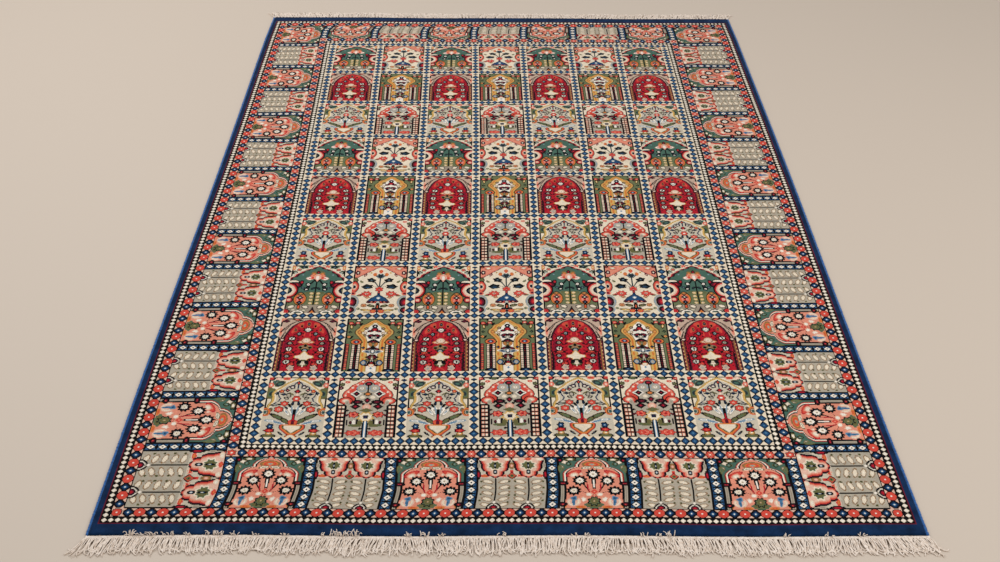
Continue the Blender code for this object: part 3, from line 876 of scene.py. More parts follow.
BORDER_PINK = Drawing("border_pink", "k", (
    Outline(((0, 86.4), (175, 86.4), (176, 0)), "t"), rose(57, 171, 20, 8, "wccook", 5),
    Spot(70, 160, 19, 7, "wccczo", 22), Spot(81, 143, 9, 7, "cczo", 30), Spot(84, 168, 8, 9, "emkk"),
    Spot(62, 155, 7, 8, "lggk"), Spot(84, 136, 6, 14, "gfo"), Spot(80, 112, 5, 18, "gt"),
    Outline(((0, 74), (84, 74), (85, 0)), "kp"),
    Outline(((84, 0), (85, 81), (118, 81), (127, 77), (135, 68), (141, 56), (143, 48), (152, 46), (160, 41),
             (168, 32), (174, 18), (177, 0)), "mrcwkkp"),
    Spot(0, 153, 31, 14, "lharraddp"), Spot(15, 141, 17, 6, "czccgp", -10),
    Spot(50, 120, 23, 9, "pprre", -28), Spot(50, 114, 13, 9, "wccsp", -20), Spot(31, 117, 6, 7, "csp"),
    Stem(((44, 4), (56, 12), (70, 20), (86, 28)), "k", 1.8), Stem(((46, 6), (54, 24), (60, 38)), "k", 1.5),
    Stem(((40, 3), (52, 10), (66, 16), (90, 18)), "e", 1.5),
    Outline(((58, 0), (59, 5.4), (106, 6.6), (107, 0)), "kkw"), rose(0, 118, 20, 20, "zcwwkkkk", 10),
    rose(36, 95, 20, 19, "zcwwkkkk", 10), rose(53, 60, 20, 17, "zccwkkkk", 10),
    lozenge(0, 57, 12, 12, "prrp"), Spot(14, 47, 9, 8, "wwcp"), rose(28, 30, 12, 11, "wwwcsp", 6),
    Spot(52, 22, 22, 19, "csscsp"), rose(52, 34, 12, 10, "bbqqlp", 3), Spot(52, 20, 4, 11, "bqq", -6),
    Spot(0, 10, 30, 11, "ogoooggp"), rose(0, 24, 18, 18, "yzoooogkk", 8), Spot(34, 4, 16, 6, "araap"),
    Spot(76, 6, 10, 7, "aap"), Outline(((16, 8.6), (80, 8.6), (81, 0)), "kkhzhh", centre=82),
    Spot(80, 85, 15, 8, "ermmkk"), Spot(80, 13, 13, 8, "ermmkk"),
), half_width=90.0, height=178.0)

BORDER_GREY = Drawing("border_grey", "k", (
    Outline(((0, 86), (176, 86), (177, 0)), "h"),
    Spot(20, 11, 15.4, 6.8, "wcccczd", -16, count=5, pitch=20.2),
    Spot(62, 11, 15.4, 6.8, "wcccczd", 16, count=5, pitch=20.2),
    Spot(8, 20, 3, 3.4, "ko", 30, count=4, pitch=24), Spot(79, 26, 3, 3.4, "ko", -30, count=4, pitch=22),
    lozenge(51, 42, 2.4, 3, "k", count=2, pitch=40),
    Outline(((20, 3.4), (108, 3.4), (109, 0)), "kki", centre=42), Spot(42, 1, 19, 18, "eeemmkkwhkk"),
    lozenge(42, 20, 5, 6, "wwwh"), Outline(((103, 0), (104, 86), (176, 86), (177, 0)), "j"),
    Spot(24, 112, 16, 6, "arrsp"), Spot(70, 112, 14, 6, "aarrs"), Spot(86, 117, 6, 18, "eemk"),
    Spot(0, 127, 5, 8, "err"), lozenge(0, 112, 14, 13, "kgoodrrk"), Spot(0, 148, 9, 15, "spddh"),
    Spot(84, 150, 4, 12, "zh"),
    Outline(((104, 0), (105, 8), (110, 12), (112, 20), (117, 24), (127, 25), (130, 33), (140, 37), (152, 37),
             (158, 40), (168, 42), (178, 48)), "kkmrrpps", centre=43),
    Spot(12, 172, 9, 7, "wccs"), Spot(72, 172, 12, 6, "wccs"), rose(43, 150, 23, 19, "cyfoogcc", 8),
    rose(43, 150, 13, 11, "cfoo", 8), Spot(43, 149, 3.4, 12, "wlqk"), Spot(43, 126, 6, 8, "wwlkk"),
    Spot(43, 173, 9, 5, "arr"),
), half_width=88.5, height=178.0)

FIELD_ROWS = ((VASE, RED_ARCH), (RED_MIHRAB, GOLD_ARCH), (GREEN_TREE, CREAM_PANEL))


@dataclass(frozen=True)
class Patch:
    """A rectangle of the pile that one drawing fills, in millimetres from the rug's middle.

    origin is where the drawing's own 0, 0 lies, and x_axis and y_axis turn a millimetre of the rug
    into the drawing's millimetres.
    """

    drawing: Drawing
    left: float
    right: float
    near: float
    far: float
    origin: Point
    x_axis: Point
    y_axis: Point


class Facing(Enum):
    """Which way a panel's top points."""

    FAR = (0, 1)
    NEAR = (0, -1)
    RIGHT = (1, 0)
    LEFT = (-1, 0)


@dataclass(frozen=True)
class Border:
    """A rectangle around the rug's middle: half its width, and where its ends lie, in millimetres."""

    half: float
    near: float
    far: float

    def inset(self, side: float, near: float, far: float) -> "Border":
        """Return the rectangle inside it, given the stripes' widths at the sides, near end and far end."""
        return Border(self.half - side, self.near + near, self.far - far)


@dataclass(frozen=True)
class RugPlan:
    """The rug's layout: nested stripes around a border of panels and a field of panels.

    A knotter works from the near end to the far one, and as the work tires its plan: the far border
    comes out shallower, and the field's rows a little closer, than the near ones.
    """

    half_width: float = RUG_WIDTH / 2 / MM
    half_length: float = RUG_LENGTH / 2 / MM
    navy: Tuple[float, float, float] = (21.4, 31.0, 42.0)  # at the sides, near end and far end
    line: float = 3.2
    pearls: float = 18.2
    guard: float = 29.6
    side_border: float = 193.8
    near_border: float = 174.0
    far_border: float = 124.0
    inner_pearls: float = 18.6
    columns: int = 7
    rows: int = 9
    row_drift: float = 11.0  # how far the middle row lies beyond an even spacing
    row_wave: float = 8.0  # how far the quarter rows lie towards the ends
    post: float = 28.2  # lattice bar that runs along the rug
    rail: float = 26.5  # lattice bar that runs across it
    side_bars: int = 13
    side_bar: float = 27.0
    side_pitch: float = 201.8
    first_side_bar: float = -1196.0
    left_lag: float = 20.0  # how far the left side's far panels fall behind the right side's
    left_lag_bar: float = 4.6  # the bar where half of that is reached
    left_lag_bars: float = 1.4  # how many bars it takes to come about
    end_panels: int = 7
    end_bar: float = 31.6

    def patches(self) -> List[Patch]:
        """Lay the whole rug out, from the outside in.

        Returns:
            Every patch of the pile.
        """
        edge = Border(self.half_width, -self.half_length, self.half_length)
        found = self.ring(edge, self.navy, PLAIN_NAVY)
        edge = edge.inset(*self.navy)
        for width, stripe, corner in ((self.line, CRIMSON_LINE, None), (self.pearls, PEARLS, None),
                                      (self.guard, CORAL_GUARD, CORAL_CORNER)):
            found += self.ring(edge, (width,) * 3, stripe, corner)
            edge = edge.inset(width, width, width)
        found += self.side_borders(edge)
        found += self.end_borders(edge)
        edge = edge.inset(self.side_border, self.near_border, self.far_border)
        for width, stripe, corner in ((self.guard, INNER_GUARD, INNER_CORNER),
                                      (self.inner_pearls, PEARLS, None)):
            found += self.ring(edge, (width,) * 3, stripe, corner)
            edge = edge.inset(width, width, width)
        return found + self.field(edge)

    def ring(self, edge: Border, widths: Tuple[float, float, float], stripe: Drawing,
             corner: Optional[Drawing] = None) -> List[Patch]:
        """Return a stripe's four sides and corners.

        Args:
            edge: the ring's outer edge.
            widths: its widths at the sides, at the near end and at the far end.
            stripe: its drawing.
            corner: another drawing for its corners, whose outer corner points to +X and +Y.

        Returns:
            The ring's patches.
        """
        found = []
        corner = corner or stripe
        inner = edge.inset(*widths)
        middle = edge.inset(*(width / 2 for width in widths))
        for side in (-1, 1):
            left, right = sorted((side * inner.half, side * edge.half))
            found.append(self.run(stripe, left, right, inner.near, inner.far, side * middle.half,
                                  (middle.near, middle.far), False))
            for end, outer_y, inner_y, middle_y in ((-1, edge.near, inner.near, middle.near),
                                                    (1, edge.far, inner.far, middle.far)):
                near, far = sorted((outer_y, inner_y))
                found.append(Patch(corner, left, right, near, far, (side * middle.half, middle_y),
                                   (side, 0), (0, end)))
        for outer_y, inner_y, middle_y in ((edge.near, inner.near, middle.near),
                                           (edge.far, inner.far, middle.far)):
            near, far = sorted((outer_y, inner_y))
            found.append(self.run(stripe, -inner.half, inner.half, near, far, middle_y,
                                  (-middle.half, middle.half), True))
        return found

    @staticmethod
    def run(stripe: Drawing, left: float, right: float, near: float, far: float, centre: float,
            ends: Point, crosswise: bool) -> Patch:
        """Lay one straight run of a stripe, with whole repeats between its corners' middles.

        Args:
            stripe: the stripe's drawing.
            left, right, near, far: the run's rectangle, in millimetres.
            centre: where the stripe's middle line lies.
            ends: where the middles of its corners lie along it.
            crosswise: whether it runs across the rug.

        Returns:
            The run's patch.
        """
        length = ends[1] - ends[0]
        wanted = stripe.repeat if crosswise else stripe.long_repeat or stripe.repeat
        repeats = round(length / wanted) if wanted else 1
        stretch = repeats * stripe.repeat / length if stripe.repeat else 1.0
        if crosswise:
            return Patch(stripe, left, right, near, far, (ends[0], centre), (0, 1), (stretch, 0))
        return Patch(stripe, left, right, near, far, (centre, ends[0]), (1, 0), (0, stretch))

    @staticmethod
    def panel(drawing: Drawing, left: float, right: float, near: float, far: float,
              facing: Facing) -> Patch:
        """Stretch a panel over a rectangle.

        Args:
            drawing: the panel's drawing.
            left, right, near, far: the rectangle, in millimetres.
            facing: which way the panel's top points.

        Returns:
            The panel's patch.
        """
        toward_x, toward_y = facing.value
        middle_x, middle_y = (left + right) / 2, (near + far) / 2
        deep = (right - left) if toward_x else (far - near)
        wide = (far - near) if toward_x else (right - left)
        up, out = drawing.height / deep, 2 * drawing.half_width / wide
        base = (middle_x - toward_x * deep / 2, middle_y - toward_y * deep / 2)
        return Patch(drawing, left, right, near, far, base, (toward_y * out, -toward_x * out),
                     (toward_x * up, toward_y * up))

    def side_borders(self, edge: Border) -> List[Patch]:
        """Lay the borders along both long sides, corners included, tops to the field.

        Args:
            edge: the borders' outer edge.

        Returns:
            Their panels and bars.
        """
        found = []
        for side, facing in ((-1, Facing.RIGHT), (1, Facing.LEFT)):
            bars = [self.first_side_bar + self.side_pitch * k for k in range(self.side_bars)]
            if side < 0:
                bars = [bar - self.left_lag * self.lagging(k) for k, bar in enumerate(bars)]
            starts = [edge.near] + [bar + self.side_bar / 2 for bar in bars]
            ends = [bar - self.side_bar / 2 for bar in bars] + [edge.far]
            left, right = sorted((side * (edge.half - self.side_border), side * edge.half))
            for number, (near, far) in enumerate(zip(starts, ends)):
                drawing = BORDER_GREY if number % 2 == 0 else BORDER_PINK
                found.append(self.panel(drawing, left, right, near, far, facing))
            for near, far in zip(ends, starts[1:]):
                found.append(self.bar(left, right, near, far, True))
        return found

    def lagging(self, bar: int) -> float:
        """Return how much of the left side's lag a bar has, from 0 to 1."""
        return 0.5 + 0.5 * math.tanh((bar - self.left_lag_bar) / self.left_lag_bars)

    def end_borders(self, edge: Border) -> List[Patch]:
        """Lay the borders at both ends, between the side borders, tops to the field.

        Args:
            edge: the borders' outer edge.

        Returns:
            Their panels and bars.
        """
        found = []
        half = edge.half - self.side_border
        panel = (2 * half - (self.end_panels + 1) * self.end_bar) / self.end_panels
        for near, far, facing in ((edge.near, edge.near + self.near_border, Facing.FAR),
                                  (edge.far - self.far_border, edge.far, Facing.NEAR)):
            for column in range(self.end_panels + 1):
                left = -half + column * (panel + self.end_bar)
                found.append(self.bar(left, left + self.end_bar, near, far, False))
                if column < self.end_panels:
                    start = left + self.end_bar
                    drawing = BORDER_PINK if column % 2 == 0 else BORDER_GREY
                    found.append(self.panel(drawing, start, start + panel, near, far, facing))
        return found

    @staticmethod
    def bar(left: float, right: float, near: float, far: float, crosswise: bool) -> Patch:
        """Lay a navy bar between two border panels, with whole repeats along it.

        Args:
            left, right, near, far: the bar's rectangle, in millimetres.
            crosswise: whether it runs across the rug.

        Returns:
            The bar's patch.
        """
        length = (right - left) if crosswise else (far - near)
        width = (far - near) if crosswise else (right - left)
        repeats = round(length / BORDER_BAR.repeat)
        along, across = repeats * BORDER_BAR.repeat / length, 2 * BORDER_BAR.half_width / width
        half = length / repeats / 2
        if crosswise:
            return Patch(BORDER_BAR, left, right, near, far, (left + half, (near + far) / 2),
                         (0, across), (along, 0))
        return Patch(BORDER_BAR, left, right, near, far, ((left + right) / 2, near + half),
                     (across, 0), (0, along))

    def field(self, edge: Border) -> List[Patch]:
        """Lay the field: a lattice of rails and posts around its rows of panels.

        Args:
            edge: the field's outer edge.

        Returns:
            Its rails, posts and panels.
        """
        found = []
        x = edge.half
        span = edge.far - edge.near - self.rail
        rails = []
        for row in range(self.rows + 1):
            share = row / self.rows
            late = 4 * self.row_drift * share * (1 - share) - self.row_wave * math.sin(math.tau * share)
            rails.append(edge.near + span * share + late)
        column_pitch = (2 * x - self.post) / self.columns
        stretch = LATTICE_REPEAT * round(column_pitch / LATTICE_REPEAT) / column_pitch
        for row, near in enumerate(rails):
            far = near + self.rail
            found.append(Patch(LATTICE_ROW, -x, x, near, far, (-x + self.post / 2, near + self.rail / 2),
                               (0, 1), (stretch, 0)))
            if row == self.rows:
                continue
            for column in range(self.columns + 1):
                left = -x + column * column_pitch
                found.append(self.panel(LATTICE_POST, left, left + self.post, far, rails[row + 1],
                                        Facing.FAR))
                if column < self.columns:
                    drawing = FIELD_ROWS[row % len(FIELD_ROWS)][column % 2]
                    found.append(self.panel(drawing, left + self.post, left + column_pitch, far,
                                            rails[row + 1], Facing.FAR))
        return found


@dataclass
class Pile:
    """The knotted cloth with its clipped pile: one closed, gently uneven sheet with a worn-round edge."""

    plan: RugPlan = field(default_factory=RugPlan)
    wool: KnottedWool = field(default_factory=KnottedWool)
    step: float = 17.0  # millimetres, the longest side of a face
    edge_steps: Tuple[float, ...] = (0.0, 0.5, 1.6, 3.4, 6.0)
    edge_round: float = 3.6
    unevenness: float = 0.0007
    ripple: Point = (71.0, 93.0)  # lengths of the small swells across and along, in millimetres
    ripple_bend: float = 160.0
    swell: Point = (210.0, 260.0)  # the same for the wide ones
    crossing: Point = (43.0, 57.0)  # and for those that run slantwise
    swell_shares: Point = (0.6, 0.4)  # how high the wide and slantwise ones are
    edge_fade: float = 60.0
    edge_calm: Point = (0.35, 0.65)  # how much of a swell is left at the edge, and comes in from there
    field_half: Point = (690.0, 1300.0)
    bake_reach: float = 0.49  # half of the bake's square that the plan fills
    wall_reach: float = 1.012  # how far the walls lie round the plan there
    underside_lift: float = 0.0002

    def half_sizes(self) -> Tuple[float, float]:
        """Return half the cloth's width and length, in millimetres, inside the side cords."""
        return self.plan.half_width - (CORD_WIDTH + GAP) / MM, self.plan.half_length

    def lines(self, borders: Sequence[float], half: float) -> np.ndarray:
        """Set out the grid: every border of a patch, the rounded edge, and steps between.

        Args:
            borders: where the patches' borders lie, in millimetres.
            half: half the cloth's size that way.

        Returns:
            The grid's lines, in order.
        """
        fixed = {round(value, 4) for value in borders if abs(value) < half - self.edge_steps[-1]}
        for inset in self.edge_steps:
            fixed |= {round(half - inset, 4), round(inset - half, 4)}
        ordered = sorted(fixed)
        lines = [ordered[0]]
        for start, end in zip(ordered, ordered[1:]):
            if end - start < CLOSEST_LINES:
                continue
            count = max(1, math.ceil((end - start) / self.step))
            lines += [start + (end - start) * k / count for k in range(1, count + 1)]
        return np.array(lines)

    def height(self, x: np.ndarray, y: np.ndarray) -> np.ndarray:
        """Shape the pile's top: soft swells, rounded at the edge.

        Args:
            x, y: places on the straight rug, in millimetres.

        Returns:
            Heights over the floor, in metres.
        """
        half_x, half_y = self.half_sizes()
        wide, slant = self.swell_shares
        swell = (np.sin(x / self.ripple[0] + 0.6 * np.sin(y / self.ripple_bend))
                 * np.sin(y / self.ripple[1] + 0.9)
                 + wide * np.sin(x / self.swell[0] + 1.3) * np.sin(y / self.swell[1] + 0.4)
                 + slant * np.sin((x + y) / self.crossing[0]) * np.sin((x - 2 * y) / self.crossing[1]))
        inset = np.minimum(half_x - np.abs(x), half_y - np.abs(y)).clip(0.0, self.edge_round)
        drop = self.edge_round - np.sqrt(self.edge_round ** 2 - (self.edge_round - inset) ** 2)
        fade = (np.minimum(half_x - np.abs(x), half_y - np.abs(y)) / self.edge_fade).clip(0.0, 1.0)
        calm, rise = self.edge_calm
        return RUG_THICKNESS - drop * MM + self.unevenness * swell * (calm + rise * fade)

    @staticmethod
    def inside(x: np.ndarray, y: np.ndarray, fades: Tuple[Point, Point]) -> np.ndarray:
        """Fade from 1 in the middle to 0 at the edge.

        Args:
            x, y: places on the straight rug, in millimetres.
            fades: where the fade ends and how long it is, across and along the rug.

        Returns:
            The share at each place.
        """
        (end_x, run_x), (end_y, run_y) = fades
        return ((end_x - np.abs(x)) / run_x).clip(0.0, 1.0) * ((end_y - np.abs(y)) / run_y).clip(0.0, 1.0)

    def drift(self, x: np.ndarray, y: np.ndarray) -> np.ndarray:
        """Stray along X inside the straight edges.

        Args:
            x, y: places on the straight rug, in millimetres.

        Returns:
            How far the knotting strays, in millimetres.
        """
        out, along = x / self.field_half[0], (y / self.field_half[1]).clip(-1.0, 1.0)
        return self.inside(x, y, DRIFT_FADES) * (
            DRIFT[0] + DRIFT[1] * out + along * (DRIFT[2] + DRIFT[3] * out))

    def tilt(self, x: np.ndarray, y: np.ndarray) -> np.ndarray:
        """Return how far the field strays along Y, in millimetres."""
        return self.inside(x, y, TILT_FADES) * (
            FIELD_TILT[0] + FIELD_TILT[1] * x / self.field_half[0])

    def build(self) -> bpy.types.Object:
        """Build the pile's mesh, its pattern's coordinates and its materials.

        Returns:
            The pile, not yet riding on anything.
        """
        patches = self.plan.patches()
        half_x, half_y = self.half_sizes()
        xs = self.lines([p.left for p in patches] + [p.right for p in patches], half_x)
        ys = self.lines([p.near for p in patches] + [p.far for p in patches], half_y)
        grid_x, grid_y = (axis.ravel() for axis in np.meshgrid(xs, ys))
        columns, rows = len(xs), len(ys)
        across, along = grid_x + self.drift(grid_x, grid_y), grid_y + self.tilt(grid_x, grid_y)
        straight = np.stack([across * MM, along * MM, self.height(grid_x, grid_y)], axis=1)
        top = lie_down(straight)
        bottom = top.copy()
        bottom[:, 2] = self.underside_lift
        corner = (np.arange(rows - 1)[:, None] * columns + np.arange(columns - 1)[None, :]).ravel()
        quads = np.stack([corner, corner + 1, corner + columns + 1, corner + columns], axis=1)
        count = columns * rows
        rim = self.rim(columns, rows)
        after = np.roll(rim, -1)
        walls = np.stack([rim + count, after + count, after, rim], axis=1)
        faces = np.concatenate([quads, quads[:, ::-1] + count, walls])

        mesh = bpy.data.meshes.new("pile")
        mesh.from_pydata(np.concatenate([top, bottom]).tolist(), [], faces.tolist())
        places = np.concatenate([np.stack([grid_x, grid_y], axis=1)] * 2)
        self.dress(mesh, patches, faces, places)
        self.add_map(mesh, BAKE_UV, self.bake_map(faces, places, len(walls)))
        for polygon in mesh.polygons:
            polygon.use_smooth = True
        return put("pile", mesh)

    @staticmethod
    def rim(columns: int, rows: int) -> np.ndarray:
        """Walk round the grid.

        Args:
            columns, rows: how many points the grid has each way.

        Returns:
            The boundary's points, counter-clockwise seen from above.
        """
        near = np.arange(columns)
        right = np.arange(1, rows) * columns + columns - 1
        far = (rows - 1) * columns + np.arange(columns - 2, -1, -1)
        left = np.arange(rows - 2, 0, -1) * columns
        return np.concatenate([near, right, far, left])

    def dress(self, mesh: bpy.types.Mesh, patches: List[Patch], faces: np.ndarray,
              places: np.ndarray) -> None:
        """Give each face its patch's material and the drawing's coordinates.

        Args:
            mesh: the pile's mesh.
            patches: the plan's patches.
            faces: each face's four corners.
            places: each point's place on the straight rug, in millimetres.
        """
        drawings = list({id(p.drawing): p.drawing for p in patches}.values())
        for drawing in drawings:
            mesh.materials.append(self.wool.material(drawing))
        slots = {id(drawing): number for number, drawing in enumerate(drawings)}
        corners = places[faces]
        middles = corners.mean(axis=1)
        owner = np.full(len(faces), -1)
        for number, patch in enumerate(patches):
            inside = ((middles[:, 0] > patch.left) & (middles[:, 0] < patch.right)
                      & (middles[:, 1] > patch.near) & (middles[:, 1] < patch.far))
            owner[inside] = number
        owner[owner < 0] = 0
        slot_of = np.array([slots[id(p.drawing)] for p in patches])
        mesh.polygons.foreach_set("material_index", slot_of[owner].astype(np.int32))
        origin = np.array([p.origin for p in patches])[owner][:, None, :]
        x_axis = np.array([p.x_axis for p in patches], float)[owner][:, None, :]
        y_axis = np.array([p.y_axis for p in patches], float)[owner][:, None, :]
        offset = corners - origin
        motif = np.stack([(offset * x_axis).sum(axis=2), (offset * y_axis).sum(axis=2)], axis=2)
        self.add_map(mesh, MOTIF_UV, motif)
        self.add_map(mesh, PLAN_UV, corners)

    @staticmethod
    def add_map(mesh: bpy.types.Mesh, name: str, values: np.ndarray) -> None:
        """Add a map of coordinates, two values for each corner of each face."""
        mesh.uv_layers.new(name=name).data.foreach_set("uv", values.reshape(-1).astype(np.float32))

    def bake_map(self, faces: np.ndarray, places: np.ndarray, walls: int) -> np.ndarray:
        """Return a map with the whole plan over the square: the back shows what the face does.

        Args:
            faces: each face's four corners, the walls last.
            places: each point's place on the straight rug, in millimetres.
            walls: how many walls there are, which lie round the plan.

        Returns:
            Coordinates from 0 to 1 for each corner of each face.
        """
        share = places[faces] / self.half_sizes()
        share[-walls:][faces[-walls:] >= len(places) // 2] *= self.wall_reach
        return 0.5 + self.bake_reach * share


def lie_down(places: np.ndarray) -> np.ndarray:
    """Bend places on the straight rug to where they lie, pressed flat at the floor.

    Args:
        places: places in metres, shaped (..., 3).

    Returns:
        The places as they lie, in the same shape.
    """
    x, y = as_it_lies(places[..., 0], places[..., 1])
    height = places[..., 2].clip(FLOOR_CLEARANCE, None)
    return np.stack([x + ORIGIN_SHIFT[0], y + ORIGIN_SHIFT[1], height], axis=-1)


def sweep(name: str, rings: np.ndarray) -> bpy.types.Object:
    """Skin rows of rings and close both ends of each row.

    Args:
        name: the new object's name.
        rings: corners, shaped (tubes, stations, sides, 3).

    Returns:
        One smooth object of all the tubes.
    """
    tubes, stations, sides, _ = rings.shape
    tube = np.arange(tubes)[:, None, None] * stations * sides
    station = np.arange(stations - 1)[None, :, None] * sides
    side = np.arange(sides)[None, None, :]
    here, after = (tube + station + side).ravel(), (tube + station + (side + 1) % sides).ravel()
    skin = np.stack([here, after, after + sides, here + sides], axis=1)
    first = tube[:, 0] + np.arange(sides)[None, :]
    last = first + (stations - 1) * sides
    mesh = bpy.data.meshes.new(name)
    faces = skin.tolist() + first[:, ::-1].tolist() + last.tolist()
    mesh.from_pydata(rings.reshape(-1, 3).tolist(), [], faces)
    mesh.polygons.foreach_set("use_smooth", np.ones(len(faces), bool))
    return put(name, mesh)


def yarn_rings(paths: np.ndarray, radii: np.ndarray, sides: int) -> np.ndarray:
    """Return the rings of round yarns along paths.

    Args:
        paths: places on the straight rug, shaped (yarns, stations, 3).
        radii: a radius for each station, shaped (yarns, stations).
        sides: how many sides a yarn has.

    Returns:
        Corners as they lie, shaped (yarns, stations, sides, 3).
    """
    ahead = np.gradient(paths, axis=1)
    ahead /= np.linalg.norm(ahead, axis=2, keepdims=True)
    beside = np.cross(ahead, (0.0, 0.0, 1.0))
    beside /= np.linalg.norm(beside, axis=2, keepdims=True)
    above = np.cross(beside, ahead)
    angles = math.tau * np.arange(sides) / sides
    wheel = (np.cos(angles)[:, None] * beside[:, :, None, :] + np.sin(angles)[:, None] * above[:, :, None, :])
    return lie_down(paths[:, :, None, :] + radii[:, :, None, None] * wheel)


@dataclass(frozen=True)
class SpunYarn:
    """Spun yarn seen from outside: matt, fuzzy at grazing angles, each length a little different."""

    name: str
    colour: str
    shade: str  # the yarn's darker lengths
    roughness: float = 0.9
    fuzz: float = 0.35
    fibre_size: float = 0.0009
    relief: float = 0.0004
    lengths: float = 140.0  # lengths of one tone for each metre
    shade_until: float = 0.30  # how much of the tone is the shade, and where the colour is full
    colour_from: float = 0.62
    bump: float = 0.5
    specular: float = 0.2

    def material(self) -> bpy.types.Material:
        """Make the yarn's material.

        Returns:
            The new material.
        """
        material, tree, shader = new_material(self.name)
        place = add(tree, "TexCoord").outputs["Object"]
        lengths = add(tree, "TexNoise", links={
            "Vector": place, "Scale": self.lengths, "Detail": 2.0})
        tone = add(tree, "ValToRGB", links={"Fac": lengths.outputs["Fac"]})
        stops = ((self.shade_until, self.shade), (self.colour_from, self.colour))
        for element, (position, colour) in zip(tone.color_ramp.elements, stops):
            element.position, element.color = position, linear(colour)
        fibres = add(tree, "TexNoise", links={
            "Vector": place, "Scale": 1.0 / self.fibre_size, "Detail": 1.0})
        bump = add(tree, "Bump", links={
            "Strength": self.bump, "Distance": self.relief, "Height": fibres.outputs["Fac"]})
        tree.links.new(tone.outputs["Color"], shader.inputs["Base Color"])
        tree.links.new(bump.outputs["Normal"], shader.inputs["Normal"])
        shader.inputs["Roughness"].default_value = self.roughness
        shader.inputs["Specular IOR Level"].default_value = self.specular
        shader.inputs["Sheen Weight"].default_value = self.fuzz
        return material


@dataclass
class WrappedCord:
    """A cord that yarn is wound around, turn beside turn, lying along the rug's edge."""

    half_width: float
    half_height: float
    pitch: float  # from turn to turn
    slant: float = 0.0012  # how far a turn leans along the cord
    groove: float = 0.12  # depth between two turns, for each radius
    uneven: float = 0.07  # how much one turn's size differs from the next
    sides: int = 10
    rings_per_turn: int = 3

    def rings(self, start: Point3, end: Point3, chance: np.random.Generator) -> np.ndarray:
        """Wind the cord between two points.

        Args:
            start, end: the two ends of its middle line, on the straight rug.
            chance: draws each turn's size.

        Returns:
            The cord's rings, as one tube for sweep.
        """
        start, end = np.array(start), np.array(end)
        length = np.linalg.norm(end - start)
        ahead = (end - start) / length
        beside = np.cross(ahead, (0.0, 0.0, 1.0))
        turns = int(length / self.pitch)
        count = turns * self.rings_per_turn
        each_turn = 1.0 + self.uneven * chance.standard_normal(turns + 1)
        station = np.arange(count + 1)
        swell = np.where(station % self.rings_per_turn == 0, 1.0 - self.groove,
                         each_turn[station // self.rings_per_turn])
        angles = math.tau * np.arange(self.sides) / self.sides
        out, up = np.cos(angles), np.sin(angles)
        along = (station * length / count)[:, None] + self.slant * up[None, :]
        ring = (start + along.clip(0.0, length)[..., None] * ahead
                + (swell[:, None] * out * self.half_width)[..., None] * beside)
        ring[..., 2] += swell[:, None] * up * self.half_height
        return lie_down(ring)[None]


@dataclass
class Selvedge:
    """The side cord: the last warps overcast with blue wool, turn beside turn."""

    side: int
    seed: int = 5
    lift: float = 0.0038  # of its middle line over the floor
    cord: WrappedCord = field(default_factory=lambda: WrappedCord(0.0037, 0.0037, 0.0042))
    wool: SpunYarn = SpunYarn("wool_overcast_cord", "#2d66a8", "#1d4a86")

    def build(self) -> bpy.types.Object:
        """Build the cord along its side of the rug.

        Returns:
            The cord, not yet riding on anything.
        """
        centre = self.side * (RUG_WIDTH / 2 - CORD_WIDTH / 2)
        chance = np.random.default_rng(self.seed + self.side)
        near, far = (centre, -RUG_LENGTH / 2, self.lift), (centre, RUG_LENGTH / 2, self.lift)
        rings = self.cord.rings(near, far, chance)
        thing = sweep(f"overcast_cord_{'right' if self.side > 0 else 'left'}", rings)
        thing.data.materials.append(self.wool.material())
        return thing


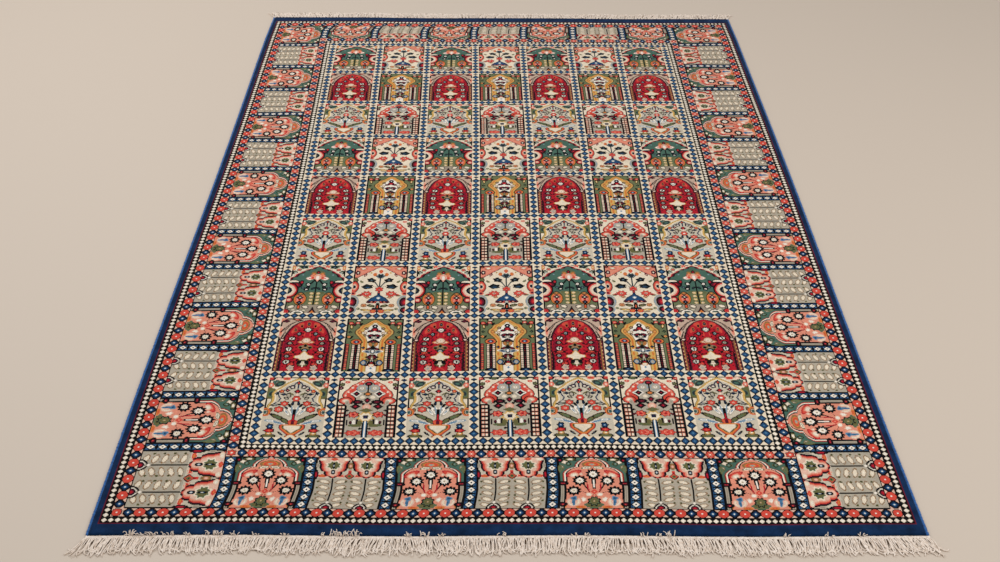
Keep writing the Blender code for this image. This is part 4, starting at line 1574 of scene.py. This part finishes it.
@dataclass
class Fringe:
    """One end's cotton: a twined heading, a knot for each lock, and locks of loose twisted warps."""

    outwards: int
    seed: int
    tufts: Tuple[Tuple[float, float], ...]  # where stray tufts lie on the pile, and their size
    cords: int = 7
    cord_radius: float = 0.00145
    stations: int = 13
    heap: float = 0.0048  # how high the cords lie on each other
    spread: float = 0.0078  # half a lock's width where it has opened
    neck: Point = (0.40, 0.60)  # its share at the knot, and how much opens from there
    pinch: Point = (0.06, 0.42)  # the share of a lock's length that is pinched: least, and more by chance
    lock_stray: float = 0.06  # how far a lock's lean strays, in radians
    cord_stray: float = 0.13  # how far one cord's lean strays from its lock's
    cord_wave: float = 0.10  # how far it swings on its way
    tip_curl: float = 1.7  # how far its tip curls
    cord_reach: Point = (0.90, 1.08)
    cord_thickness: Point = (0.80, 1.12)
    cord_lift: Point = (0.35, 0.65)
    lowest_layer: float = 0.0016
    tip_drop: float = 0.35
    cord_sides: int = 5
    tip_share: float = 0.97  # where a cord's tip starts to thin
    tip_thickness: float = 0.7
    knot_profile: Tuple[float, ...] = (0.0012, 0.0026, 0.0030, 0.0028, 0.0016)
    knot_half: float = 0.0032  # half a knot's length
    knot_size: Point = (0.85, 1.12)
    knot_lift: Point = (0.0034, 0.0008)  # least, and more by chance
    knot_stray: float = 0.0008
    knot_sides: int = 8
    # Each of these for the smallest stray tuft, and how much more for one of size 1
    stray_ends: Point = (3, 6)
    stray_reach: Point = (0.004, 0.012)
    stray_scatter: Point = (0.003, 0.008)
    stray_stations: int = 8
    stray_range: Point = (0.55, 1.1)
    stray_turn: Point = (0.7, 2.2)  # how far an end leans, and curls on its way
    stray_inset: float = 0.004
    stray_height: float = 0.0050
    stray_rise: Point = (0.0058, 0.004)
    stray_sides: int = 4
    stray_radius: float = 0.0010
    heading_lift: float = 0.0024
    # The dark strip under the locks' roots is painted shade, for the shadow in the gaps between them.
    shade_strip_width: float = 0.024
    shade_strip_height: float = 0.0014
    shade_strip_shoulder: float = 0.004  # where its top starts to slope, and to what share of its height
    shade_strip_slope: float = 0.6
    shade_strip_inset: float = 0.001
    shade_strip_stations: int = 60
    shade_strip_lift: float = 0.0002
    heading: WrappedCord = field(default_factory=lambda: WrappedCord(0.0046, 0.0021, 0.0034, 0.002, 0.10))
    cotton: SpunYarn = SpunYarn("cotton_warp", "#f6e9dd", "#dac8b6", 0.92, 0.25, 0.0006, 0.0003)
    # Painted shade: the dark strip's colours under the locks' roots.
    shade: SpunYarn = SpunYarn("painted_shade_under_roots", "#85705c", "#5f4d3f", 0.95, 0.10, 0.0009, 0.0003)

    def build(self) -> bpy.types.Object:
        """Build the heading, knots and warps.

        Returns:
            All of them as one piece, not yet riding on anything.
        """
        chance = np.random.default_rng(self.seed)
        parts = [self.make_heading(chance), self.make_warps(chance), self.make_knots(chance),
                 self.make_stray_ends(chance)]
        material = self.cotton.material()
        for part in parts:
            part.data.materials.append(material)
        # Add the dark strip of painted shade under the locks' roots.
        parts.append(self.make_painted_shade_strip())
        parts[-1].data.materials.append(self.shade.material())
        with bpy.context.temp_override(active_object=parts[0], selected_editable_objects=parts):
            bpy.ops.object.join()
        return parts[0]

    def locks(self) -> List[Tuple[float, float, float, float]]:
        """Draw the locks by chance, as their solid has them.

        Returns:
            Each lock's root along X, lean, length and stray tip.
        """
        chance = random.Random(self.seed)
        found = []
        for lock in range(STRANDS_PER_END):
            x = -RUG_WIDTH / 2 + (lock + 0.5) * RUG_WIDTH / STRANDS_PER_END
            shortening = chance.random() * LENGTH_SPREAD
            stray = chance.uniform(-LOOSE_TIP, LOOSE_TIP)
            if lock in (0, STRANDS_PER_END - 1):
                shortening, stray = 0.0, 0.0
            length = (FRINGE_REACH - HEADING_WIDTH - GAP) * (1.0 - shortening)
            found.append((x, self.lean(x), length, stray))
        return found

    def lean(self, x: float) -> float:
        """Lean the locks in slow waves, and outwards at the corners.

        Args:
            x: a lock's root across the rug, in metres.

        Returns:
            Its lean, in radians.
        """
        long_wave, short_wave = SWAY_LENGTHS
        sway = SWAY * (0.6 * math.sin(math.tau * x / long_wave + self.seed)
                       + 0.4 * math.sin(math.tau * x / short_wave + 2.0 * self.seed))
        corner_share = math.exp(-(RUG_WIDTH / 2 - abs(x)) / SPLAY_RANGE)
        lock_length = FRINGE_REACH - HEADING_WIDTH - GAP
        splay = math.copysign(math.atan(TIP_SPLAY / lock_length), x)
        fan = FAN * x / (RUG_WIDTH / 2)
        return (1.0 - corner_share) * (sway + fan) + corner_share * splay

    def make_heading(self, chance: np.random.Generator) -> bpy.types.Object:
        """Make the twined heading along the rug's end.

        Args:
            chance: draws each turn's size.

        Returns:
            The heading.
        """
        y = self.outwards * (RUG_LENGTH / 2 + GAP + HEADING_WIDTH / 2)
        half, lift = RUG_WIDTH / 2, self.heading_lift
        rings = self.heading.rings((-half, y, lift), (half, y, lift), chance)
        return sweep(f"cotton_fringe_{'far' if self.outwards > 0 else 'near'}", rings)

    def make_warps(self, chance: np.random.Generator) -> bpy.types.Object:
        """Make every lock's twisted cords, which lean, cross, curl and lie on each other.

        Args:
            chance: draws each cord's stray, reach, place in the heap and thickness.

        Returns:
            All the cords.
        """
        share = np.linspace(0.0, 1.0, self.stations)
        root_y = RUG_LENGTH / 2 + GAP + HEADING_WIDTH * 0.8
        paths, radii = [], []
        for x, lean, length, stray in self.locks():
            pinched = self.pinch[0] + self.pinch[1] * chance.random() ** 3
            sweeping = lean + chance.normal(0.0, self.lock_stray)
            for cord in range(self.cords):
                place = (2.0 * (cord + 0.5) / self.cords - 1.0) * self.spread
                spread = place * (self.neck[0] + self.neck[1] * (share / pinched).clip(0.0, 1.0))
                turned = (sweeping + chance.normal(0.0, self.cord_stray)
                          + self.cord_wave * np.sin(math.tau * (share + chance.random()))
                          + chance.normal(0.0, self.tip_curl) * share ** 5)
                reach = length / math.cos(sweeping) * chance.uniform(*self.cord_reach)
                step = reach / (self.stations - 1)
                along = np.concatenate([[0.0], np.cumsum(np.cos(turned[1:])) * step])
                across = np.concatenate([[0.0], np.cumsum(np.sin(turned[1:])) * step])
                across = x + stray * share ** 2 + spread + across
                layer = self.lowest_layer + chance.random() * self.heap
                lift = self.cord_lift[0] + self.cord_lift[1] * np.sin(math.pi * share ** 0.6)
                height = self.cord_radius + layer * lift * (1.0 - self.tip_drop * share)
                paths.append(np.stack([across, self.outwards * (root_y + along), height], axis=1))
                tip = np.where(share > self.tip_share, self.tip_thickness, 1.0)
                radii.append(self.cord_radius * chance.uniform(*self.cord_thickness) * tip)
        return sweep("warps", yarn_rings(np.array(paths), np.array(radii), self.cord_sides))

    def make_knots(self, chance: np.random.Generator) -> bpy.types.Object:
        """Make each lock's knot, just outside the heading.

        Args:
            chance: draws each knot's size and place.

        Returns:
            All the knots.
        """
        profile = np.array(self.knot_profile)
        share = np.linspace(-1.0, 1.0, len(profile))
        paths, radii = [], []
        for x, lean, _, _ in self.locks():
            size = chance.uniform(*self.knot_size)
            y = RUG_LENGTH / 2 + GAP + HEADING_WIDTH * 0.9 + self.knot_half * share * size
            across = x + chance.normal(0.0, self.knot_stray) + self.knot_half * share * math.tan(lean)
            height = np.full(len(profile), self.knot_lift[0] + chance.uniform(0.0, self.knot_lift[1]))
            paths.append(np.stack([across, self.outwards * y, height], axis=1))
            radii.append(profile * size)
        return sweep("knots", yarn_rings(np.array(paths), np.array(radii), self.knot_sides))

    def make_stray_ends(self, chance: np.random.Generator) -> bpy.types.Object:
        """Make the small tufts of warp that curl up from the heading onto the pile.

        Args:
            chance: draws each end's reach, curl, place and rise.

        Returns:
            All the tufts.
        """
        share = np.linspace(0.0, 1.0, self.stray_stations)
        paths = []
        for x, size in self.tufts:
            ends, longest, scatter = (least + more * size for least, more in (
                self.stray_ends, self.stray_reach, self.stray_scatter))
            for _ in range(round(ends)):
                reach = longest * chance.uniform(*self.stray_range)
                lean, curl = (chance.normal(0.0, turn) for turn in self.stray_turn)
                turned = lean + curl * share
                across = x + chance.normal(0.0, scatter) + np.cumsum(np.sin(turned)) * reach / len(share)
                along = np.cumsum(np.cos(turned)) * reach / len(share)
                inward = self.outwards * (RUG_LENGTH / 2 + self.stray_inset - along)
                rise = self.stray_rise[0] + chance.uniform(0.0, self.stray_rise[1]) * size
                height = self.stray_height + rise * np.sin(math.pi / 2 * share ** 0.5)
                paths.append(np.stack([across, inward, height], axis=1))
        radii = np.full((len(paths), len(share)), self.stray_radius)
        return sweep("stray_ends", yarn_rings(np.array(paths), radii, self.stray_sides))

    def make_painted_shade_strip(self) -> bpy.types.Object:
        """Make a narrow dark strip under the locks' roots: painted shade, seen in the gaps between them.

        Returns:
            The dark strip.
        """
        half, inner = RUG_WIDTH / 2 - self.shade_strip_inset, RUG_LENGTH / 2 + GAP
        ys = self.outwards * (inner + np.array([0.0, self.shade_strip_shoulder, self.shade_strip_width]))
        xs = np.linspace(-half, half, self.shade_strip_stations)
        low, high = self.shade_strip_lift, self.shade_strip_height
        ring = [(ys[0], low), (ys[2], low), (ys[2], high * self.shade_strip_slope), (ys[1], high), (ys[0], high)]
        rings = np.array([[[(x, y, z) for y, z in ring] for x in xs]])
        return sweep("painted_shade_strip", lie_down(rings))


@dataclass
class Studio:
    """The plain pale floor, the soft lights and the camera at the photograph's viewpoint."""

    camera_place: Point3 = (-0.0437, -3.3717, 2.209)
    pitch_down: float = 37.14
    turn_right: float = 0.553
    roll: float = 0.515
    focal_pixels: float = 1158.5
    frame_width: float = 1000.0
    sensor: float = 36.0
    floor_size: float = 16.0
    floor_colour: str = "#cdbfb0"
    floor_roughness: float = 0.55
    sky_colour: str = "#f4f1ee"
    sky_strength: float = 0.56

    def set_camera(self) -> None:
        """Make the camera."""
        data = bpy.data.cameras.new("camera")
        data.sensor_fit = "HORIZONTAL"
        data.sensor_width = self.sensor
        data.lens = self.focal_pixels / self.frame_width * self.sensor
        camera = put("camera", data)
        turn = Matrix.Rotation(math.radians(-self.turn_right), 4, "Z")
        tilt = Matrix.Rotation(math.radians(90.0 - self.pitch_down), 4, "X")
        level = Matrix.Rotation(math.radians(self.roll), 4, "Z")
        camera.matrix_world = Matrix.Translation(self.camera_place) @ turn @ tilt @ level
        bpy.context.scene.camera = camera

    def lay_floor(self) -> bpy.types.Object:
        """Make the floor: a wide sheet of matt stone-coloured plaster, which gives an even, pale ground.

        Returns:
            The floor.
        """
        mesh = bpy.data.meshes.new("floor")
        shape = bmesh.new()
        bmesh.ops.create_grid(shape, x_segments=4, y_segments=4, size=self.floor_size / 2)
        shape.to_mesh(mesh)
        shape.free()
        floor = put("floor", mesh)
        material, _, shader = new_material("matt_floor")
        shader.inputs["Base Color"].default_value = linear(self.floor_colour)
        shader.inputs["Roughness"].default_value = self.floor_roughness
        mesh.materials.append(material)
        return floor

    def light(self) -> None:
        """Hang two large soft lights, over the far left and the near right, under a pale sky."""
        world = bpy.data.worlds.new("sky")
        world.use_nodes = True
        background = world.node_tree.nodes["Background"]
        background.inputs["Color"].default_value = linear(self.sky_colour)
        background.inputs["Strength"].default_value = self.sky_strength
        bpy.context.scene.world = world
        for name, place, size, power in (("window", (-2.5, 1.7, 3.7), 3.4, 88.0),
                                         ("room", (2.7, -1.7, 3.8), 3.5, 86.0)):
            data = bpy.data.lights.new(name, "AREA")
            data.energy = power
            data.size = size
            lamp = put(name, data)
            lamp.location = place
            lamp.rotation_euler = (-Vector(place)).to_track_quat("-Z", "Y").to_euler()


def report(name: str, piece: bpy.types.Object) -> None:
    """Log a finished piece.

    Args:
        name: the name to log it by.
        piece: the piece, whose triangles are counted.
    """
    triangles = sum(len(polygon.vertices) - 2 for polygon in piece.data.polygons)
    LOG.info("%s: %d triangles", name, triangles)


def main() -> None:
    """Build the studio and the rug, piece by piece."""
    bpy.context.scene.view_settings.view_transform = "Standard"
    studio = Studio()
    studio.set_camera()
    studio.lay_floor()
    studio.light()
    pile = Pile().build()
    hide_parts("rug")
    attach(pile, BODY)
    report("pile", pile)
    for side, node in ((-1, "selvedge_left"), (1, "selvedge_right")):
        cord = Selvedge(side).build()
        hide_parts(node)
        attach(cord, BODY)
        report(node, cord)
    for outwards, seed, tufts, node in ((-1, 3, NEAR_TUFTS, "fringe_near"), (1, 8, FAR_TUFTS, "fringe_far")):
        fringe = Fringe(outwards, seed, tufts).build()
        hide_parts(node)
        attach(fringe, BODY)
        report(node, fringe)


if __name__ == "__main__":
    main()
